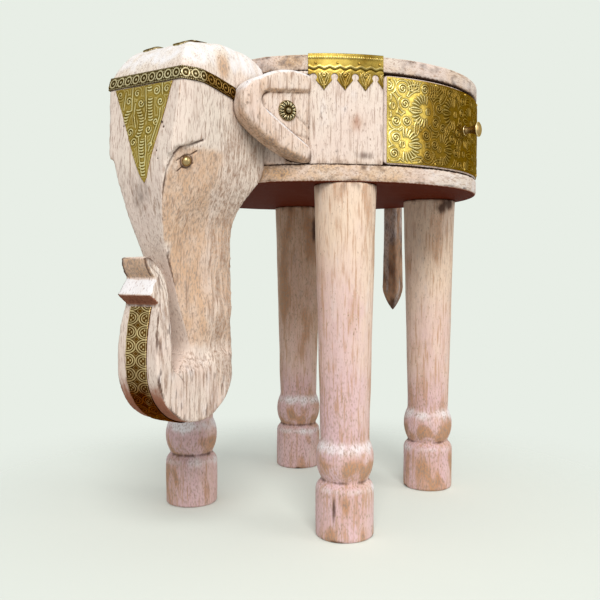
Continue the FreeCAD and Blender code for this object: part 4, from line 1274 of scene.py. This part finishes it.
def valance_relief(points):
    """Height of the pattern on a valance on either flank."""
    degrees = -np.degrees(np.arctan2(np.abs(points[:, 1]), points[:, 0]))
    lobe = (degrees - VALANCE_FROM) / VALANCE_STEP
    u = (lobe - np.floor(lobe) - 0.5) * math.radians(VALANCE_STEP) * DRUM_R
    v = points[:, 2] - VALANCE_LOW
    run = np.radians(degrees) * DRUM_R
    wavy = v - 19.2 - 0.8 * np.sin(2 * math.pi * run / 9.9)
    outline = np.abs(u) - 5.6 * np.sqrt(np.clip((v - 3.5) / 14, 0, 1)) * ramp(v, 18.5, 13)
    height = most(
        0.9 * hump(np.hypot(repeat(run, 2.2), v - 30.0), 0.75),
        0.7 * hump(wavy - 2.2, 0.7),
        hump(outline, 0.6) * ramp(v, 17.5, 16),
        hump(np.abs(u) - 0.026 * (v - 2) ** 2, 0.6) * ramp(v, 16, 15) * ramp(v, 2, 3),
        0.9 * hump(np.hypot(u, v - 14) - 1.3, 0.6),
    )
    return height - 0.9 * hump(wavy, 0.8)


for side, sign in (("left", -1), ("right", 1)):
    low_y, high_y = sorted((sign * 80, sign * 146))
    spans = [(0, -158, -108, 0.7), (1, low_y, high_y, 0.7), (2, VALANCE_LOW, VALANCE_TOP, 0.6)]
    mesh = sliced_copy(f"valance_{side}", spans)
    points = read_points(mesh)
    browned = 0.5 + 0.2 * ramp(points[:, 2], VALANCE_LOW + 20, VALANCE_LOW + 14)
    outward = unit(np.c_[points[:, :2], np.zeros(len(points))])
    emboss(mesh, outward, valance_relief(points), VALANCE_RISE, browned)
    show(f"valance_brass_{side}", mesh, bright_brass, "bright_brass", "table", f"valance_{side}")

# %% [markdown]
# Rosettes, eye studs, crown discs and the knob are cast or turned brass. Each is remeshed finely and
# softened, and its own edges tell where it is rubbed bright, with a painted highlight, and where the dark dip
# stays. The crown discs lie on the flat tops of the two domes, so they are drawn in to where the carved skin
# is nearly level.

# %% Cast and turned brass
ABOVE_ALL = 560.0
DISC_INNER = 6.5
DISC_DRAWN_IN = 0.64


def skin_of(shape):
    """A search tree over a bmesh, which is freed."""
    tree = BVHTree.FromBMesh(shape)
    shape.free()
    return tree


def skin_under(tree, spots):
    """Height of the upper skin in millimetres and its slope, under each flat spot."""
    hits = [tree.ray_cast(place(x, y, ABOVE_ALL), Vector((0, 0, -1))) for x, y in spots]
    return np.array([hit[0].z / MM for hit in hits]), np.array([hit[1].z for hit in hits])


def lay_on_dome(mesh):
    """Draw a crown disc in towards the flat top of its dome, and lay it on the carved skin."""
    points = read_points(mesh)
    packed, packed_slope = skin_under(packed_skin, points[:, :2])
    above = (points[:, 2] - packed) * packed_slope
    side = np.sign(points[:, 1].mean())
    points[:, 1] = side * (DISC_INNER + (side * points[:, 1] - DISC_INNER) * DISC_DRAWN_IN)
    carved, carved_slope = skin_under(carved_skin, points[:, :2])
    points[:, 2] = carved + above / carved_slope
    write_points(mesh, points)


carved_shape = bmesh.new()
carved_shape.from_mesh(head_piece.data)
carved_skin = skin_of(carved_shape)
packed_skin = skin_of(merged_copy("head"))
for node, cell, metal, body, level, boss_r in (
    ("ear_rosette_left", 0.35, antique_brass, "table", 0.36, 3.0),
    ("ear_rosette_right", 0.35, antique_brass, "table", 0.36, 3.0),
    ("crown_disc_left", 0.4, antique_brass, "table", 0.2, 0.0),
    ("crown_disc_right", 0.4, antique_brass, "table", 0.2, 0.0),
    ("eye_left", 0.3, band_brass, "table", 0.55, 0.0),
    ("eye_right", 0.3, band_brass, "table", 0.55, 0.0),
    ("drawer_knob", 0.4, band_brass, "drawer", 0.6, 0.0),
):
    mesh = carved_mesh(node, cell, 2)
    if node.startswith("crown"):
        lay_on_dome(mesh)
    points, normals = read_points(mesh), read_normals(mesh)
    # Sharp edges are rubbed bright and also carry a painted highlight
    rubbed = net_blur(mesh, relative_turn(mesh, points, normals), 2)
    away = np.linalg.norm(points - (points.min(axis=0) + points.max(axis=0)) / 2, axis=1)
    boss = ramp(away, boss_r + 0.6, boss_r - 0.6)
    paint(mesh, relief=level + 0.9 * rubbed + 0.8 * boss, tarnish=np.zeros(len(points)))
    show(f"cast_{node}", mesh, metal, "antique_brass", body, node)

# %% [markdown]
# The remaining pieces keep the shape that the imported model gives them, such as nails, screws and the
# drawer's box. Each gets the finish that its slot in the record names.

# %% Finishes for the carried-over pieces
FINISH = {
    "whitewashed_wood": head_wood,
    "leg_wood": leg_wood,
    "bare_wood": bare_wood,
    "bright_brass": nail_brass,
    "antique_brass": nail_brass,
    "steel_fixings": ground_steel,
}
slots = {part["node"]: part["material_slot"] for part in frame["record"]["subparts"]}
for node, item in frame["nodes"].items():
    if item.hide_render:
        continue
    item.data.materials.clear()
    item.data.materials.append(FINISH[slots[node]])
    print("kept", node, "in", slots[node])
